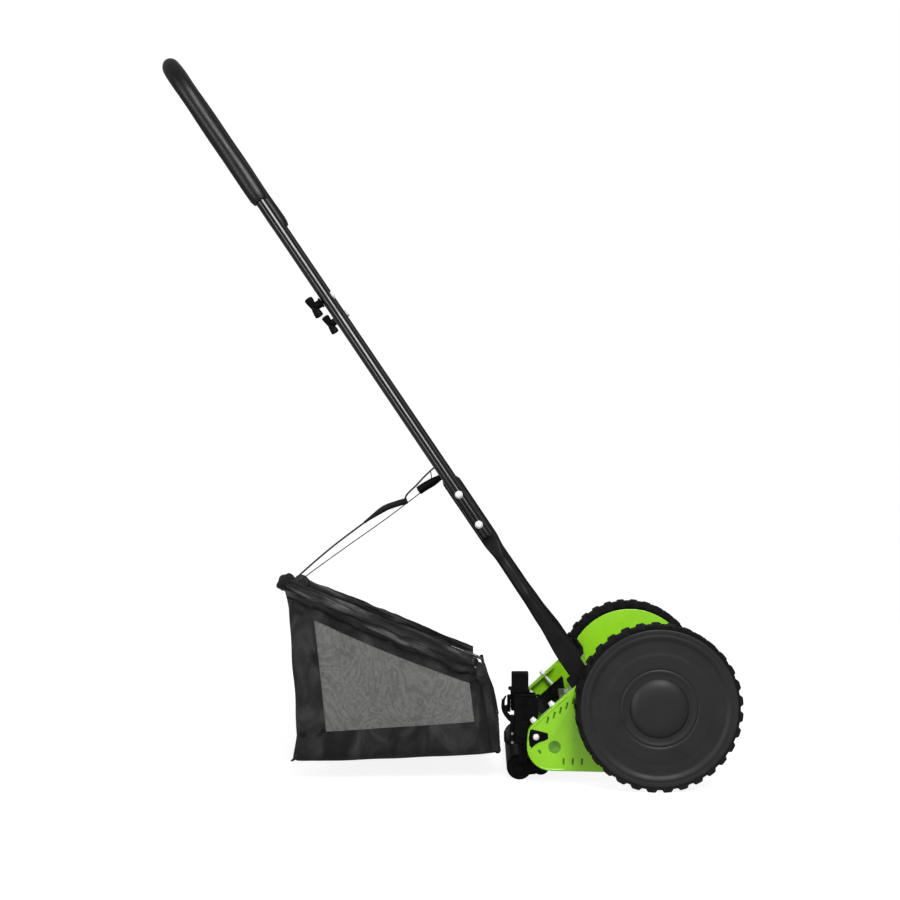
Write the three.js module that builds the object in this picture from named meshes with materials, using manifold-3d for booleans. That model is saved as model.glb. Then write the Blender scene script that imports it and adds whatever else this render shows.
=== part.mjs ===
// A hand-pushed reel mower with a 290 mm cut, a floating tube handle and a mesh grass catcher.
// Millimetres. +X is forward, +Y is the mower's left, +Z is up. The ground is Z = 0.
// Inside this file X is measured from the wheel axle. The last lines move the whole mower so that
// its origin lies on the ground under the middle of its bounding box.
import * as THREE from 'three';
import { mergeVertices } from 'three/addons/utils/BufferGeometryUtils.js';
import Module from 'manifold-3d';

const wasm = await Module();
wasm.setup();

// Driving dimensions ---------------------------------------------------------------------------
const GAP = 0.3; // running gap between neighbouring pieces
const BORE_GAP = 0.3; // a bore's radius over its pin's radius

const WHEEL_RADIUS = 110; // over the lugs
const TYRE_INNER_Y = 163;
const TYRE_OUTER_Y = 207;
const TYRE_BASE_RADIUS = 106.2;
const LUG_COUNT = 32;
const RIM_RADIUS = 96;
const AXLE_RADIUS = 6;

const GEAR_MODULE = 3;
const RING_TEETH = 52;
const PINION_TEETH = 10;
const RING_PITCH_RADIUS = (GEAR_MODULE * RING_TEETH) / 2;
const PINION_PITCH_RADIUS = (GEAR_MODULE * PINION_TEETH) / 2;
const GEAR_CENTRES = RING_PITCH_RADIUS - PINION_PITCH_RADIUS;

const PLATE_INNER_Y = 158;
const PLATE_THICKNESS = 2.5;
const PLATE_OUTER_Y = PLATE_INNER_Y + PLATE_THICKNESS;
const PLATE_DISC_RADIUS = 98;
const FLANGE_EDGE_Y = 144; // how far in the rim of the side plate is turned

const REEL_DIRECTION = THREE.MathUtils.degToRad(205.4); // from the axle to the reel shaft
const REEL_X = GEAR_CENTRES * Math.cos(REEL_DIRECTION);
const REEL_Z = WHEEL_RADIUS + GEAR_CENTRES * Math.sin(REEL_DIRECTION);
const REEL_RADIUS = 58;
const REEL_HALF_LENGTH = 146.5;
const REEL_BLADES = 5;
const BEARING_RADIUS = 11;
const REEL_TWIST = (2 * Math.PI) / REEL_BLADES; // each blade ends where the next one starts

const KNIFE_ANGLE = THREE.MathUtils.degToRad(235); // where the reel meets the bed knife
const TRUNNION_X = -118;
const TRUNNION_Z = 65;
const TRUNNION_RADIUS = 4;
const TRUNNION_END_Y = 159.2; // the pins end in blind seats in the side plates
const ARM_INNER_Y = 149.2;
const ARM_OUTER_Y = 152.6;

const ROLLER_X = -182;
const ROLLER_RADIUS = 17.4;
const ROLLER_HALF_LENGTH = 126;

const PIVOT_X = -87.7; // handle pivot
const PIVOT_BOLT_RADIUS = 4;
const PIVOT_Z = 128.5;
const HANDLE_LEAN = THREE.MathUtils.degToRad(34.07); // from upright, towards the rear
const HANDLE_LENGTH = 1057; // pivot to the middle of the cross tube
const HANDLE_HALF_WIDTH = 97; // tube centres at the grip
const LEG_HALF_WIDTH = 153; // tube centres at the pivot
const TUBE_RADIUS = 8;
const TUBE_WALL = 1.2;
const UPPER_JOINT = 645; // along the handle, from the pivot
const SPLAY = (LEG_HALF_WIDTH - HANDLE_HALF_WIDTH) / 615;
const BRACE_HEIGHT = 362;
const BRACE_RADIUS = 5;
const GRIP_START = 809;
const GRIP_RADIUS = 13;
const BOLT_HEIGHTS = { lower: 267, upper: 316 }; // lower leg to middle frame

const HOOK_X = -197.5; // the catcher hangs on this line
const HOOK_Z = 62;
const WIRE_RADIUS = 2.5;
const WIRE_Y = 147;
const CORD_RADIUS = 1.6;
const CORD_HALF_SPREAD = 45;

// Materials ------------------------------------------------------------------------------------
function finish(color, roughness, metalness) {
  return () => new THREE.MeshStandardMaterial({ color, roughness, metalness });
}
const greenPaint = finish(0x7dc328, 0.35, 0.1);
const blackPaint = finish(0x0b0b0c, 0.25, 0.3);
const blackPlastic = finish(0x151516, 0.5, 0);
const wheelPlastic = finish(0x2d2d2e, 0.6, 0);
const tyreRubber = finish(0x19191a, 0.8, 0);
const foam = finish(0x1c1c1d, 0.9, 0);
const fabric = finish(0x242425, 0.9, 0);
const cordFabric = finish(0x101011, 0.8, 0);
const zinc = finish(0xd0d2d4, 0.3, 0.9);
const bladeSteel = finish(0xa9abad, 0.35, 0.9);
const rollerPlastic = finish(0x101011, 0.55, 0);

// Sides of a round piece. Curved faces are flat facets, so these set how fine each one is.
const FINE = 36;
const WHEEL_SIDES = 24;
const MEDIUM = 16;
const COARSE = 8;

// Geometry helpers -----------------------------------------------------------------------------
function toSolid(geometry) {
  const bare = geometry.clone();
  bare.deleteAttribute('normal');
  bare.deleteAttribute('uv');
  const merged = mergeVertices(bare, 1e-4);
  return new wasm.Manifold(new wasm.Mesh({
    numProp: 3,
    vertProperties: new Float32Array(merged.attributes.position.array),
    triVerts: new Uint32Array(merged.index.array),
  }));
}

function toGeometry(solid) {
  const mesh = solid.getMesh();
  const geometry = new THREE.BufferGeometry();
  geometry.setAttribute('position', new THREE.BufferAttribute(mesh.vertProperties, 3));
  geometry.setIndex(new THREE.BufferAttribute(mesh.triVerts, 1));
  geometry.computeVertexNormals();
  return geometry;
}

function join(...geometries) {
  return toGeometry(geometries.map(toSolid).reduce((sum, next) => sum.add(next)));
}

function cut(base, ...tools) {
  return toGeometry(tools.map(toSolid).reduce((rest, tool) => rest.subtract(tool), toSolid(base)));
}

// The same piece on the other side of the mower.
function mirrored(geometry) {
  const copy = geometry.index ? geometry.toNonIndexed() : geometry.clone();
  const position = copy.attributes.position;
  const first = new THREE.Vector3();
  const second = new THREE.Vector3();
  copy.scale(1, -1, 1);
  for (let corner = 0; corner < position.count; corner += 3) {
    first.fromBufferAttribute(position, corner + 1);
    second.fromBufferAttribute(position, corner + 2);
    position.setXYZ(corner + 1, second.x, second.y, second.z);
    position.setXYZ(corner + 2, first.x, first.y, first.z);
  }
  return copy;
}

function box(width, depth, height, x, y, z) {
  return new THREE.BoxGeometry(width, depth, height).translate(x, y, z);
}

// A round bar parallel to the axle, between two Y values.
function rod(radius, x, z, startY, endY, sides = MEDIUM) {
  const bar = new THREE.CylinderGeometry(radius, radius, Math.abs(endY - startY), sides);
  return bar.translate(x, (startY + endY) / 2, z);
}

// A cutter for a pin's hole through the right side plate and anything just inside it.
function throughHole(pinRadius, x, z, sides = MEDIUM) {
  return rod(pinRadius + BORE_GAP, x, z, -LEG_HALF_WIDTH + 13, -PLATE_OUTER_Y - 10, sides);
}

// A closed outline with rounded corners, from [x, z, radius] corners in order.
function outline(corners) {
  const shape = new THREE.Shape();
  corners.forEach(([x, z, radius], index) => {
    const corner = new THREE.Vector2(x, z);
    const before = new THREE.Vector2(...corners.at(index - 1)).sub(corner).normalize();
    const after = new THREE.Vector2(...corners[(index + 1) % corners.length]).sub(corner).normalize();
    const half = Math.acos(before.dot(after)) / 2;
    const start = before.clone().multiplyScalar(radius / Math.tan(half)).add(corner);
    const end = after.clone().multiplyScalar(radius / Math.tan(half)).add(corner);
    const middle = before.add(after).normalize().multiplyScalar(radius / Math.sin(half)).add(corner);
    const place = index === 0 ? 'moveTo' : 'lineTo';
    shape[place](start.x, start.y);
    if (radius > 0) {
      const from = Math.atan2(start.y - middle.y, start.x - middle.x);
      const to = Math.atan2(end.y - middle.y, end.x - middle.x);
      const turn = Math.atan2(Math.sin(to - from), Math.cos(to - from));
      shape.absarc(middle.x, middle.y, radius, from, to, turn < 0);
    }
  });
  shape.closePath();
  return shape;
}

// The corners of a convex outline, moved inwards by the same distance all round.
function inset(corners, distance) {
  const lines = corners.map(([x, z], index) => {
    const [nextX, nextZ] = corners[(index + 1) % corners.length];
    const length = Math.hypot(nextX - x, nextZ - z);
    const normal = [-(nextZ - z) / length, (nextX - x) / length];
    return { normal, offset: normal[0] * x + normal[1] * z + distance };
  });
  return corners.map(([, , radius], index) => {
    const a = lines.at(index - 1);
    const b = lines[index];
    const det = a.normal[0] * b.normal[1] - a.normal[1] * b.normal[0];
    const x = (a.offset * b.normal[1] - b.offset * a.normal[1]) / det;
    const z = (a.normal[0] * b.offset - b.normal[0] * a.offset) / det;
    return [x, z, Math.max(radius - distance, 0)];
  });
}

// A flat plate in the XZ plane on the right side, from innerY to outerY away from the middle.
function plate(shape, innerY, outerY, curveSegments = 4) {
  const settings = { depth: outerY - innerY, bevelEnabled: false, curveSegments };
  return new THREE.ExtrudeGeometry(shape, settings).rotateX(Math.PI / 2).translate(0, -innerY, 0);
}

// A ring turned about the axle direction, from [radius, outward distance] points.
function turned(profile, sides) {
  const loop = [...profile, profile[0]].reverse();
  const points = loop.map(([radius, outward]) => new THREE.Vector2(radius, -outward));
  return new THREE.LatheGeometry(points, sides);
}

// The toothed outline of a gear or of a row of lugs. Angles are half widths in radians.
function toothed(count, rootRadius, tipRadius, rootAngle, tipAngle, phase) {
  const points = [];
  for (let tooth = 0; tooth < count; tooth += 1) {
    const centre = phase + (tooth * 2 * Math.PI) / count;
    const corners = [
      [rootRadius, -rootAngle],
      [tipRadius, -tipAngle],
      [tipRadius, tipAngle],
      [rootRadius, rootAngle],
    ];
    for (const [radius, angle] of corners) {
      points.push(new THREE.Vector2(radius * Math.cos(centre + angle), radius * Math.sin(centre + angle)));
    }
  }
  return points;
}

function circle(radius) {
  return new THREE.Path().absarc(0, 0, radius, 0, 2 * Math.PI, false);
}

// A path through given points, so that a straight stretch takes one step.
class VertexPath extends THREE.Curve {
  constructor(points) {
    super();
    this.points = points;
  }

  getUtoTmapping(share) {
    return share;
  }

  getPoint(share) {
    const place = Math.min(Math.max(share, 0), 1) * (this.points.length - 1);
    const index = Math.min(Math.floor(place), this.points.length - 2);
    return this.points[index].clone().lerp(this.points[index + 1], place - index);
  }
}

// A polyline with its inner corners bent to a radius.
function bent(corners, radius, steps = 6) {
  const points = corners.map((corner) => new THREE.Vector3(...corner));
  const path = [points[0]];
  for (let index = 1; index < points.length - 1; index += 1) {
    const before = points[index - 1].clone().sub(points[index]).normalize();
    const after = points[index + 1].clone().sub(points[index]).normalize();
    const half = before.angleTo(after) / 2;
    const reach = radius / Math.tan(half);
    const bisector = before.clone().add(after).normalize();
    const centre = bisector.multiplyScalar(radius / Math.sin(half)).add(points[index]);
    const start = before.multiplyScalar(reach).add(points[index]).sub(centre);
    const end = after.multiplyScalar(reach).add(points[index]).sub(centre);
    const sweepAngle = start.angleTo(end);
    for (let step = 0; step <= steps; step += 1) {
      const share = step / steps;
      const startPart = Math.sin((1 - share) * sweepAngle) / Math.sin(sweepAngle);
      const endPart = Math.sin(share * sweepAngle) / Math.sin(sweepAngle);
      const fromStart = start.clone().multiplyScalar(startPart);
      const fromEnd = end.clone().multiplyScalar(endPart);
      path.push(fromStart.add(fromEnd).add(centre));
    }
  }
  path.push(points.at(-1));
  return path;
}

// A bar or tube swept along points. A wall of 0 makes a solid bar.
function swept(points, radius, wall = 0, sides = COARSE) {
  const section = new THREE.Shape().absarc(0, 0, radius, 0, 2 * Math.PI, false);
  if (wall > 0) {
    section.holes.push(circle(radius - wall));
  }
  return new THREE.ExtrudeGeometry(section, {
    steps: points.length - 1,
    curveSegments: sides / 2, // a full circle takes twice as many
    extrudePath: new VertexPath(points),
  });
}

function add(group, name, geometry, material) {
  const mesh = new THREE.Mesh(geometry, material());
  mesh.name = name;
  group.add(mesh);
}

function addPair(group, name, geometry, material) {
  add(group, `${name}_right`, geometry, material);
  add(group, `${name}_left`, mirrored(geometry), material);
}

function groupAt(parent, x, z) {
  const group = new THREE.Group();
  group.position.set(x, 0, z);
  parent.add(group);
  return group;
}

const mower = new THREE.Group();
const model = new THREE.Group();
mower.add(model);
const chassis = groupAt(model, 0, 0);

// Side plates ----------------------------------------------------------------------------------
// A disc that closes the wheel, and a tail behind it with a turned-in rim.
const TAIL = [
  [-88, 149.7, 0],
  [-171, 75.5, 16],
  [-176, 48, 14],
  [-150, 19.2, 24],
  [-30, 19.2, 0],
  [-30, 110, 0],
];
const KEY_OPENING = [
  [-168, 75.5, 1],
  [-169.5, 62, 4],
  [-167, 49, 1],
  [-158, 57, 3],
  [-144, 62, 2],
  [-144.5, 70, 2],
  [-158, 73.5, 3],
];
const TAIL_START = new THREE.Vector2(TAIL[0][0], TAIL[0][1]);
const TAIL_EDGE = new THREE.Vector2(TAIL[1][0], TAIL[1][1]).sub(TAIL_START).normalize();
const TAIL_INWARD = new THREE.Vector2(-TAIL_EDGE.y, TAIL_EDGE.x);
const TIE_ROD = { x: 34, z: 138, radius: 6, studRadius: 4 };
const LEG_CLEARANCE_X = -116; // the rim stops here so that the handle leg can pass
const ADJUSTER_Y = 150.9;
const ADJUSTER_RADIUS = 2.4;
const ADJUSTER_STARTS = { front: 66, rear: 99 }; // along the tail's upper edge
const RIM_DEPTH = PLATE_OUTER_Y - FLANGE_EDGE_Y;

function adjusterPoint(along, inward) {
  return TAIL_START.clone().addScaledVector(TAIL_EDGE, along).addScaledVector(TAIL_INWARD, inward);
}

// A round bar across the tail's upper edge, between two depths under it.
function adjusterBar(along, radius, startDepth, endDepth, sides) {
  const from = adjusterPoint(along, startDepth);
  const to = adjusterPoint(along, endDepth);
  const bar = new THREE.CylinderGeometry(radius, radius, endDepth - startDepth, sides);
  bar.rotateX(Math.PI / 2);
  bar.rotateY(Math.atan2(to.x - from.x, to.y - from.y));
  return bar.translate((from.x + to.x) / 2, -ADJUSTER_Y, (from.y + to.y) / 2);
}

function sidePlate() {
  const disc = rod(PLATE_DISC_RADIUS, 0, WHEEL_RADIUS, -PLATE_INNER_Y, -PLATE_OUTER_Y, FINE);
  const tail = plate(outline(TAIL), PLATE_INNER_Y, PLATE_OUTER_Y);
  const rimBlock = plate(outline(TAIL), FLANGE_EDGE_Y, PLATE_OUTER_Y);
  const hollow = plate(outline(inset(TAIL, PLATE_THICKNESS)), FLANGE_EDGE_Y - 1, PLATE_OUTER_Y + 1);
  const rimMiddle = -FLANGE_EDGE_Y - RIM_DEPTH / 2;
  const room = box(200, RIM_DEPTH + 4, 300, LEG_CLEARANCE_X + 100, rimMiddle, WHEEL_RADIUS);
  const screwHoles = Object.values(ADJUSTER_STARTS).map((along) =>
    adjusterBar(along, ADJUSTER_RADIUS + BORE_GAP, -2, 6, COARSE),
  );
  const rim = cut(rimBlock, hollow, room);
  return cut(
    join(disc, tail, rim),
    throughHole(AXLE_RADIUS, 0, WHEEL_RADIUS),
    throughHole(BEARING_RADIUS, REEL_X, REEL_Z),
    throughHole(PIVOT_BOLT_RADIUS, PIVOT_X, PIVOT_Z),
    rod(TRUNNION_RADIUS + BORE_GAP, TRUNNION_X, TRUNNION_Z, -ARM_OUTER_Y, -TRUNNION_END_Y - GAP, COARSE),
    throughHole(TIE_ROD.studRadius, TIE_ROD.x, TIE_ROD.z, COARSE),
    plate(outline(KEY_OPENING), PLATE_INNER_Y - 1, PLATE_OUTER_Y + 1, 3),
    ...screwHoles,
  );
}
addPair(chassis, 'side_plate', sidePlate(), greenPaint);

// Tie rod and stub axles -----------------------------------------------------------------------
function tieRod() {
  const { x, z, radius, studRadius } = TIE_ROD;
  const seat = PLATE_INNER_Y - GAP;
  const nutStart = PLATE_OUTER_Y + GAP;
  const nutEnd = nutStart + 5;
  return join(
    rod(radius, x, z, -seat, seat, COARSE),
    rod(studRadius, x, z, -nutEnd + 1, nutEnd - 1, COARSE),
    rod(8, x, z, -nutStart, -nutEnd, 6),
    rod(8, x, z, nutStart, nutEnd, 6),
  );
}
add(chassis, 'tie_rod', tieRod(), zinc);

const HUB_OUTER_Y = 193;
function stubAxle() {
  const shoulder = PLATE_OUTER_Y + GAP;
  return join(
    rod(AXLE_RADIUS, 0, WHEEL_RADIUS, -152, -HUB_OUTER_Y - 3),
    rod(9, 0, WHEEL_RADIUS, -152.5, -PLATE_INNER_Y + GAP, 6),
    rod(10, 0, WHEEL_RADIUS, -shoulder, -shoulder - 4.5),
    rod(10, 0, WHEEL_RADIUS, -HUB_OUTER_Y - GAP, -HUB_OUTER_Y - 2),
  );
}
addPair(chassis, 'stub_axle', stubAxle(), zinc);

// Handle stops and pivot bolts -----------------------------------------------------------------
// Places beside the handle are given along the handle and across it, towards the front.
const HANDLE_UP = new THREE.Vector2(-Math.sin(HANDLE_LEAN), Math.cos(HANDLE_LEAN));
const HANDLE_FRONT = new THREE.Vector2(Math.cos(HANDLE_LEAN), Math.sin(HANDLE_LEAN));
const PADDLE_HALF_WIDTH = 13;
const STOP_PLATE = { inner: 155.3, outer: PLATE_INNER_Y - GAP };
const STOP_TAB = { start: 14, end: 28, thickness: 3, inner: 150.8 };
const STOP_REAR = 15.4; // from the middle of the leg to the rear stop
const STOP_FRONT = 17.7;

function besideHandle(along, front, radius = 0) {
  const point = new THREE.Vector2(PIVOT_X, PIVOT_Z);
  point.addScaledVector(HANDLE_UP, along).addScaledVector(HANDLE_FRONT, front);
  return [point.x, point.y, radius];
}

function stopTab(near, far) {
  const tab = outline([
    besideHandle(STOP_TAB.start, near),
    besideHandle(STOP_TAB.end, near),
    besideHandle(STOP_TAB.end, far),
    besideHandle(STOP_TAB.start, far),
  ]);
  return plate(tab, STOP_TAB.inner, STOP_PLATE.outer);
}

function handleStop() {
  const fan = outline([
    besideHandle(-14, 9, 8),
    besideHandle(8, STOP_FRONT + STOP_TAB.thickness + 1, 4),
    besideHandle(30, STOP_FRONT + STOP_TAB.thickness + 1, 4),
    besideHandle(30, -STOP_REAR - STOP_TAB.thickness - 1, 4),
    besideHandle(8, -STOP_REAR - STOP_TAB.thickness - 1, 4),
    besideHandle(-14, -9, 8),
  ]);
  return cut(
    join(
      plate(fan, STOP_PLATE.inner, STOP_PLATE.outer, 3),
      stopTab(-STOP_REAR, -STOP_REAR - STOP_TAB.thickness),
      stopTab(STOP_FRONT + STOP_TAB.thickness, STOP_FRONT),
    ),
    throughHole(PIVOT_BOLT_RADIUS, PIVOT_X, PIVOT_Z),
  );
}
addPair(chassis, 'handle_stop', handleStop(), blackPaint);

function pivotBolt() {
  return join(
    rod(PIVOT_BOLT_RADIUS, PIVOT_X, PIVOT_Z, -148, -PLATE_OUTER_Y - 3),
    rod(7, PIVOT_X, PIVOT_Z, -147.3, -150.7, COARSE),
    rod(6.5, PIVOT_X, PIVOT_Z, -PLATE_OUTER_Y - GAP, -PLATE_OUTER_Y - 2.4, 6),
  );
}
addPair(chassis, 'handle_pivot_bolt', pivotBolt(), zinc);

// Bed knife ------------------------------------------------------------------------------------
const KNIFE_EDGE_X = REEL_X + (REEL_RADIUS + GAP) * Math.cos(KNIFE_ANGLE);
const KNIFE_EDGE_Z = REEL_Z + (REEL_RADIUS + GAP) * Math.sin(KNIFE_ANGLE);
const KNIFE_THICKNESS = 2.4;
const KNIFE_DEPTH = 29;
const CARRIER_HALF_LENGTH = 149.4;
const ARM_EDGE_DEPTH = 21; // from the tail's upper edge to the arm's
const SCREW_SLACK = 0.6; // lets the bed knife drop off the reel by a small angle

function bedKnife() {
  const back = KNIFE_EDGE_X - KNIFE_DEPTH;
  const blade = outline([
    [KNIFE_EDGE_X, KNIFE_EDGE_Z, 0],
    [back, KNIFE_EDGE_Z, 0],
    [back, KNIFE_EDGE_Z - KNIFE_THICKNESS, 0],
    [KNIFE_EDGE_X - 2.5, KNIFE_EDGE_Z - KNIFE_THICKNESS, 0],
  ]);
  return plate(blade, -REEL_HALF_LENGTH, REEL_HALF_LENGTH);
}
add(chassis, 'bed_knife', bedKnife(), bladeSteel);

function bedKnifeCarrier() {
  const seat = KNIFE_EDGE_Z + GAP;
  const rear = TRUNNION_X - 14;
  const front = TRUNNION_X + 12;
  const bar = outline([
    [front, seat, 1],
    [front, seat + 5, 1],
    [rear + 5, seat + 5, 2],
    [rear + 4, seat + 16, 1],
    [rear, seat + 16, 1],
    [rear, seat, 1],
  ]);
  const upperFront = adjusterPoint(44, ARM_EDGE_DEPTH);
  const upperRear = adjusterPoint(108, ARM_EDGE_DEPTH);
  const arm = outline([
    [upperFront.x, upperFront.y, 2],
    [upperRear.x, upperRear.y, 2],
    [TRUNNION_X - 32, TRUNNION_Z - 14, 4],
    [rear - 4, seat + 6, 4],
    [rear - 1, seat, 1],
    [front + 2, seat, 3],
    [TRUNNION_X + 17, TRUNNION_Z - 5, 6],
  ]);
  const side = plate(arm, ARM_INNER_Y, ARM_OUTER_Y, 3);
  const pin = rod(TRUNNION_RADIUS, TRUNNION_X, TRUNNION_Z, -ARM_OUTER_Y + 1, -TRUNNION_END_Y, COARSE);
  const end = join(side, pin);
  return join(plate(bar, -CARRIER_HALF_LENGTH, CARRIER_HALF_LENGTH, 2), end, mirrored(end));
}
add(chassis, 'bed_knife_carrier', bedKnifeCarrier(), blackPaint);

function adjustingScrew(along) {
  return join(
    adjusterBar(along, ADJUSTER_RADIUS, -5, ARM_EDGE_DEPTH - SCREW_SLACK, COARSE),
    adjusterBar(along, 4.6, -3.4, -GAP, 6),
    adjusterBar(along, 3.8, -6.5, -3, 6),
  );
}
for (const [place, along] of Object.entries(ADJUSTER_STARTS)) {
  addPair(chassis, `adjusting_screw_${place}`, adjustingScrew(along), zinc);
}

// Height adjusters and catcher hooks -----------------------------------------------------------
const HOUSING = { rear: -189, front: -157, bottom: 52, inner: 127, outer: 143.6 };
const HOUSING_TOP = { right: 120, left: 84 }; // only the right one has a tower with a lifting cap
const STEM = { rear: -184, front: -172, inner: 131, outer: 140 };
const KEY_INNER_Y = 153.7;
const KEY_FLANGE = [
  [-169, 70, 3],
  [-169, 51, 2],
  [-142, 57, 3],
  [-142, 74, 3],
];
const CLAMP_BOLT = { x: -160.4, z: 65.2, radius: 3 };

function upright(rear, front, bottom, top, inner, outer) {
  const centre = [(rear + front) / 2, -(inner + outer) / 2, (bottom + top) / 2];
  return box(front - rear, outer - inner, top - bottom, ...centre);
}

function heightHousing(top) {
  const { rear, front, bottom, inner, outer } = HOUSING;
  const body = outline([
    [rear, top, 1.5],
    [rear, bottom, 3],
    [front - 6, bottom, 4],
    [front, bottom + 10, 4],
    [front, top - 8, 6],
    [front - 4, top, 1.5],
  ]);
  return cut(
    join(
      plate(body, inner, outer, 3),
      upright(-168.6, -160, 54, 69, outer - 2, KEY_INNER_Y + 1),
      plate(outline(KEY_FLANGE), KEY_INNER_Y, PLATE_INNER_Y - GAP, 3),
      plate(outline(inset(KEY_OPENING, 0.5)), PLATE_INNER_Y - 1, PLATE_OUTER_Y + 0.8, 3),
    ),
    upright(STEM.rear - GAP, STEM.front + GAP, 0, 200, STEM.inner - GAP, STEM.outer + GAP),
    throughHole(CLAMP_BOLT.radius, CLAMP_BOLT.x, CLAMP_BOLT.z, COARSE),
  );
}
add(chassis, 'height_housing_right', heightHousing(HOUSING_TOP.right), blackPlastic);
add(chassis, 'height_housing_left', mirrored(heightHousing(HOUSING_TOP.left)), blackPlastic);

function clampBolt() {
  const seat = PLATE_OUTER_Y + 0.8 + GAP;
  return join(
    rod(CLAMP_BOLT.radius, CLAMP_BOLT.x, CLAMP_BOLT.z, -154, -seat - 1, COARSE),
    rod(5, CLAMP_BOLT.x, CLAMP_BOLT.z, -seat, -seat - 3.6, COARSE),
  );
}
addPair(chassis, 'clamp_bolt', clampBolt(), zinc);

// The cross wire of the catcher drops in from the rear, over the lip of the seat.
function hookSeat() {
  const front = HOUSING.rear - GAP;
  const play = WIRE_RADIUS + GAP;
  const lip = HOOK_X - play - 3;
  return plate(outline([
    [front, 90, 0],
    [HOOK_X + play, 90, 1],
    [HOOK_X + play, HOOK_Z - play, 2],
    [HOOK_X - play, HOOK_Z - play, 2],
    [HOOK_X - play, HOOK_Z + 6, 1],
    [lip, HOOK_Z + 6, 1],
    [lip, 55, 3],
    [HOOK_X, 50, 3],
    [front, 50, 0],
  ]), 129, 141, 3);
}

// A thin crescent above the right seat.
function crescent() {
  const shape = new THREE.Shape();
  shape.absarc(HOUSING.rear + 4.5, 104, 23.5, Math.PI * 0.71, Math.PI * 1.3, false);
  shape.absarc(HOUSING.rear + 2.5, 104.5, 17, Math.PI * 1.38, Math.PI * 0.73, true);
  const foot = outline([
    [HOUSING.rear - GAP, 91, 0],
    [HOUSING.rear - 15, 91.5, 2],
    [HOUSING.rear - 16, 85, 3],
    [HOUSING.rear - 6, 80, 2],
    [HOUSING.rear - GAP, 80, 0],
  ]);
  return join(plate(foot, 132, 138, 3), plate(shape, 132, 138, 5));
}

const lowSeat = cut(hookSeat(), box(40, 40, 40, HOOK_X, -135, HOUSING_TOP.left + 12));
add(chassis, 'catcher_hook_right', join(hookSeat(), crescent()), blackPlastic);
add(chassis, 'catcher_hook_left', mirrored(lowSeat), blackPlastic);

// Roller carriage ------------------------------------------------------------------------------
const CARRIAGE_TRAVEL = 18;
const CAP = { rear: -193, front: -170, height: { right: 29, left: 4 } };
const JOURNAL_RADIUS = 5;
const roller = groupAt(model, ROLLER_X, ROLLER_RADIUS);

function rollerBracket(side) {
  const lobe = rod(14, ROLLER_X, ROLLER_RADIUS, -127, -133);
  const frontLobe = rod(12, -153, 20, -127, -133);
  const web = outline([[ROLLER_X, 4.4, 0], [ROLLER_X, 31.4, 0], [-153, 32, 0], [-153, 8.4, 0]].reverse());
  const seat = HOUSING_TOP[side] + GAP;
  const riser = upright(STEM.rear, STEM.front, ROLLER_RADIUS + 8, seat + 3, STEM.inner, STEM.outer);
  const cap = upright(CAP.rear, CAP.front, seat, seat + CAP.height[side], HOUSING.inner, HOUSING.outer);
  return cut(
    join(lobe, frontLobe, plate(web, 127, 133), riser, cap),
    rod(JOURNAL_RADIUS + BORE_GAP, ROLLER_X, ROLLER_RADIUS, -120, -150),
  );
}
add(chassis, 'roller_bracket_right', rollerBracket('right'), blackPlastic);
add(chassis, 'roller_bracket_left', mirrored(rollerBracket('left')), blackPlastic);

function rollerBody() {
  const journal = 134;
  return join(
    rod(ROLLER_RADIUS, 0, 0, -ROLLER_HALF_LENGTH, ROLLER_HALF_LENGTH, FINE),
    rod(JOURNAL_RADIUS, 0, 0, -journal, journal),
  );
}
add(roller, 'roller', rollerBody(), rollerPlastic);
if (HOUSING.bottom - ROLLER_RADIUS - 14 < CARRIAGE_TRAVEL) {
  throw new Error('The roller bracket would strike its housing at the top of its travel.');
}

// Wheels ---------------------------------------------------------------------------------------
const wheels = groupAt(model, 0, WHEEL_RADIUS);
const LUG_HALF_ANGLE = THREE.MathUtils.degToRad(2.7);
const LUG_PITCH = (2 * Math.PI) / LUG_COUNT;
const RING_ROOT_RADIUS = RING_PITCH_RADIUS + 3.4;
const RING_TIP_RADIUS = RING_PITCH_RADIUS - 2.6;
const RING_BACK_RADIUS = RING_ROOT_RADIUS + 4;
const GEAR_INNER_Y = 165.6;
const GEAR_OUTER_Y = 179;

// One row of lugs, with a flat-topped lug pointing straight down when phase is 0.
function lugRow(innerY, outerY, phase) {
  const tip = WHEEL_RADIUS / Math.cos(LUG_HALF_ANGLE);
  const start = -Math.PI / 2 + phase;
  const lugs = toothed(LUG_COUNT, TYRE_BASE_RADIUS, tip, LUG_HALF_ANGLE * 1.12, LUG_HALF_ANGLE, start);
  const shape = new THREE.Shape(lugs);
  shape.holes.push(circle(RIM_RADIUS + GAP));
  return plate(shape, innerY, outerY, WHEEL_SIDES / 2);
}

function tyre() {
  return join(
    lugRow(TYRE_INNER_Y, TYRE_INNER_Y + 24, 0),
    lugRow(TYRE_OUTER_Y - 24, TYRE_OUTER_Y, LUG_PITCH / 2),
  );
}
addPair(wheels, 'tyre', tyre(), tyreRubber);

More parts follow.
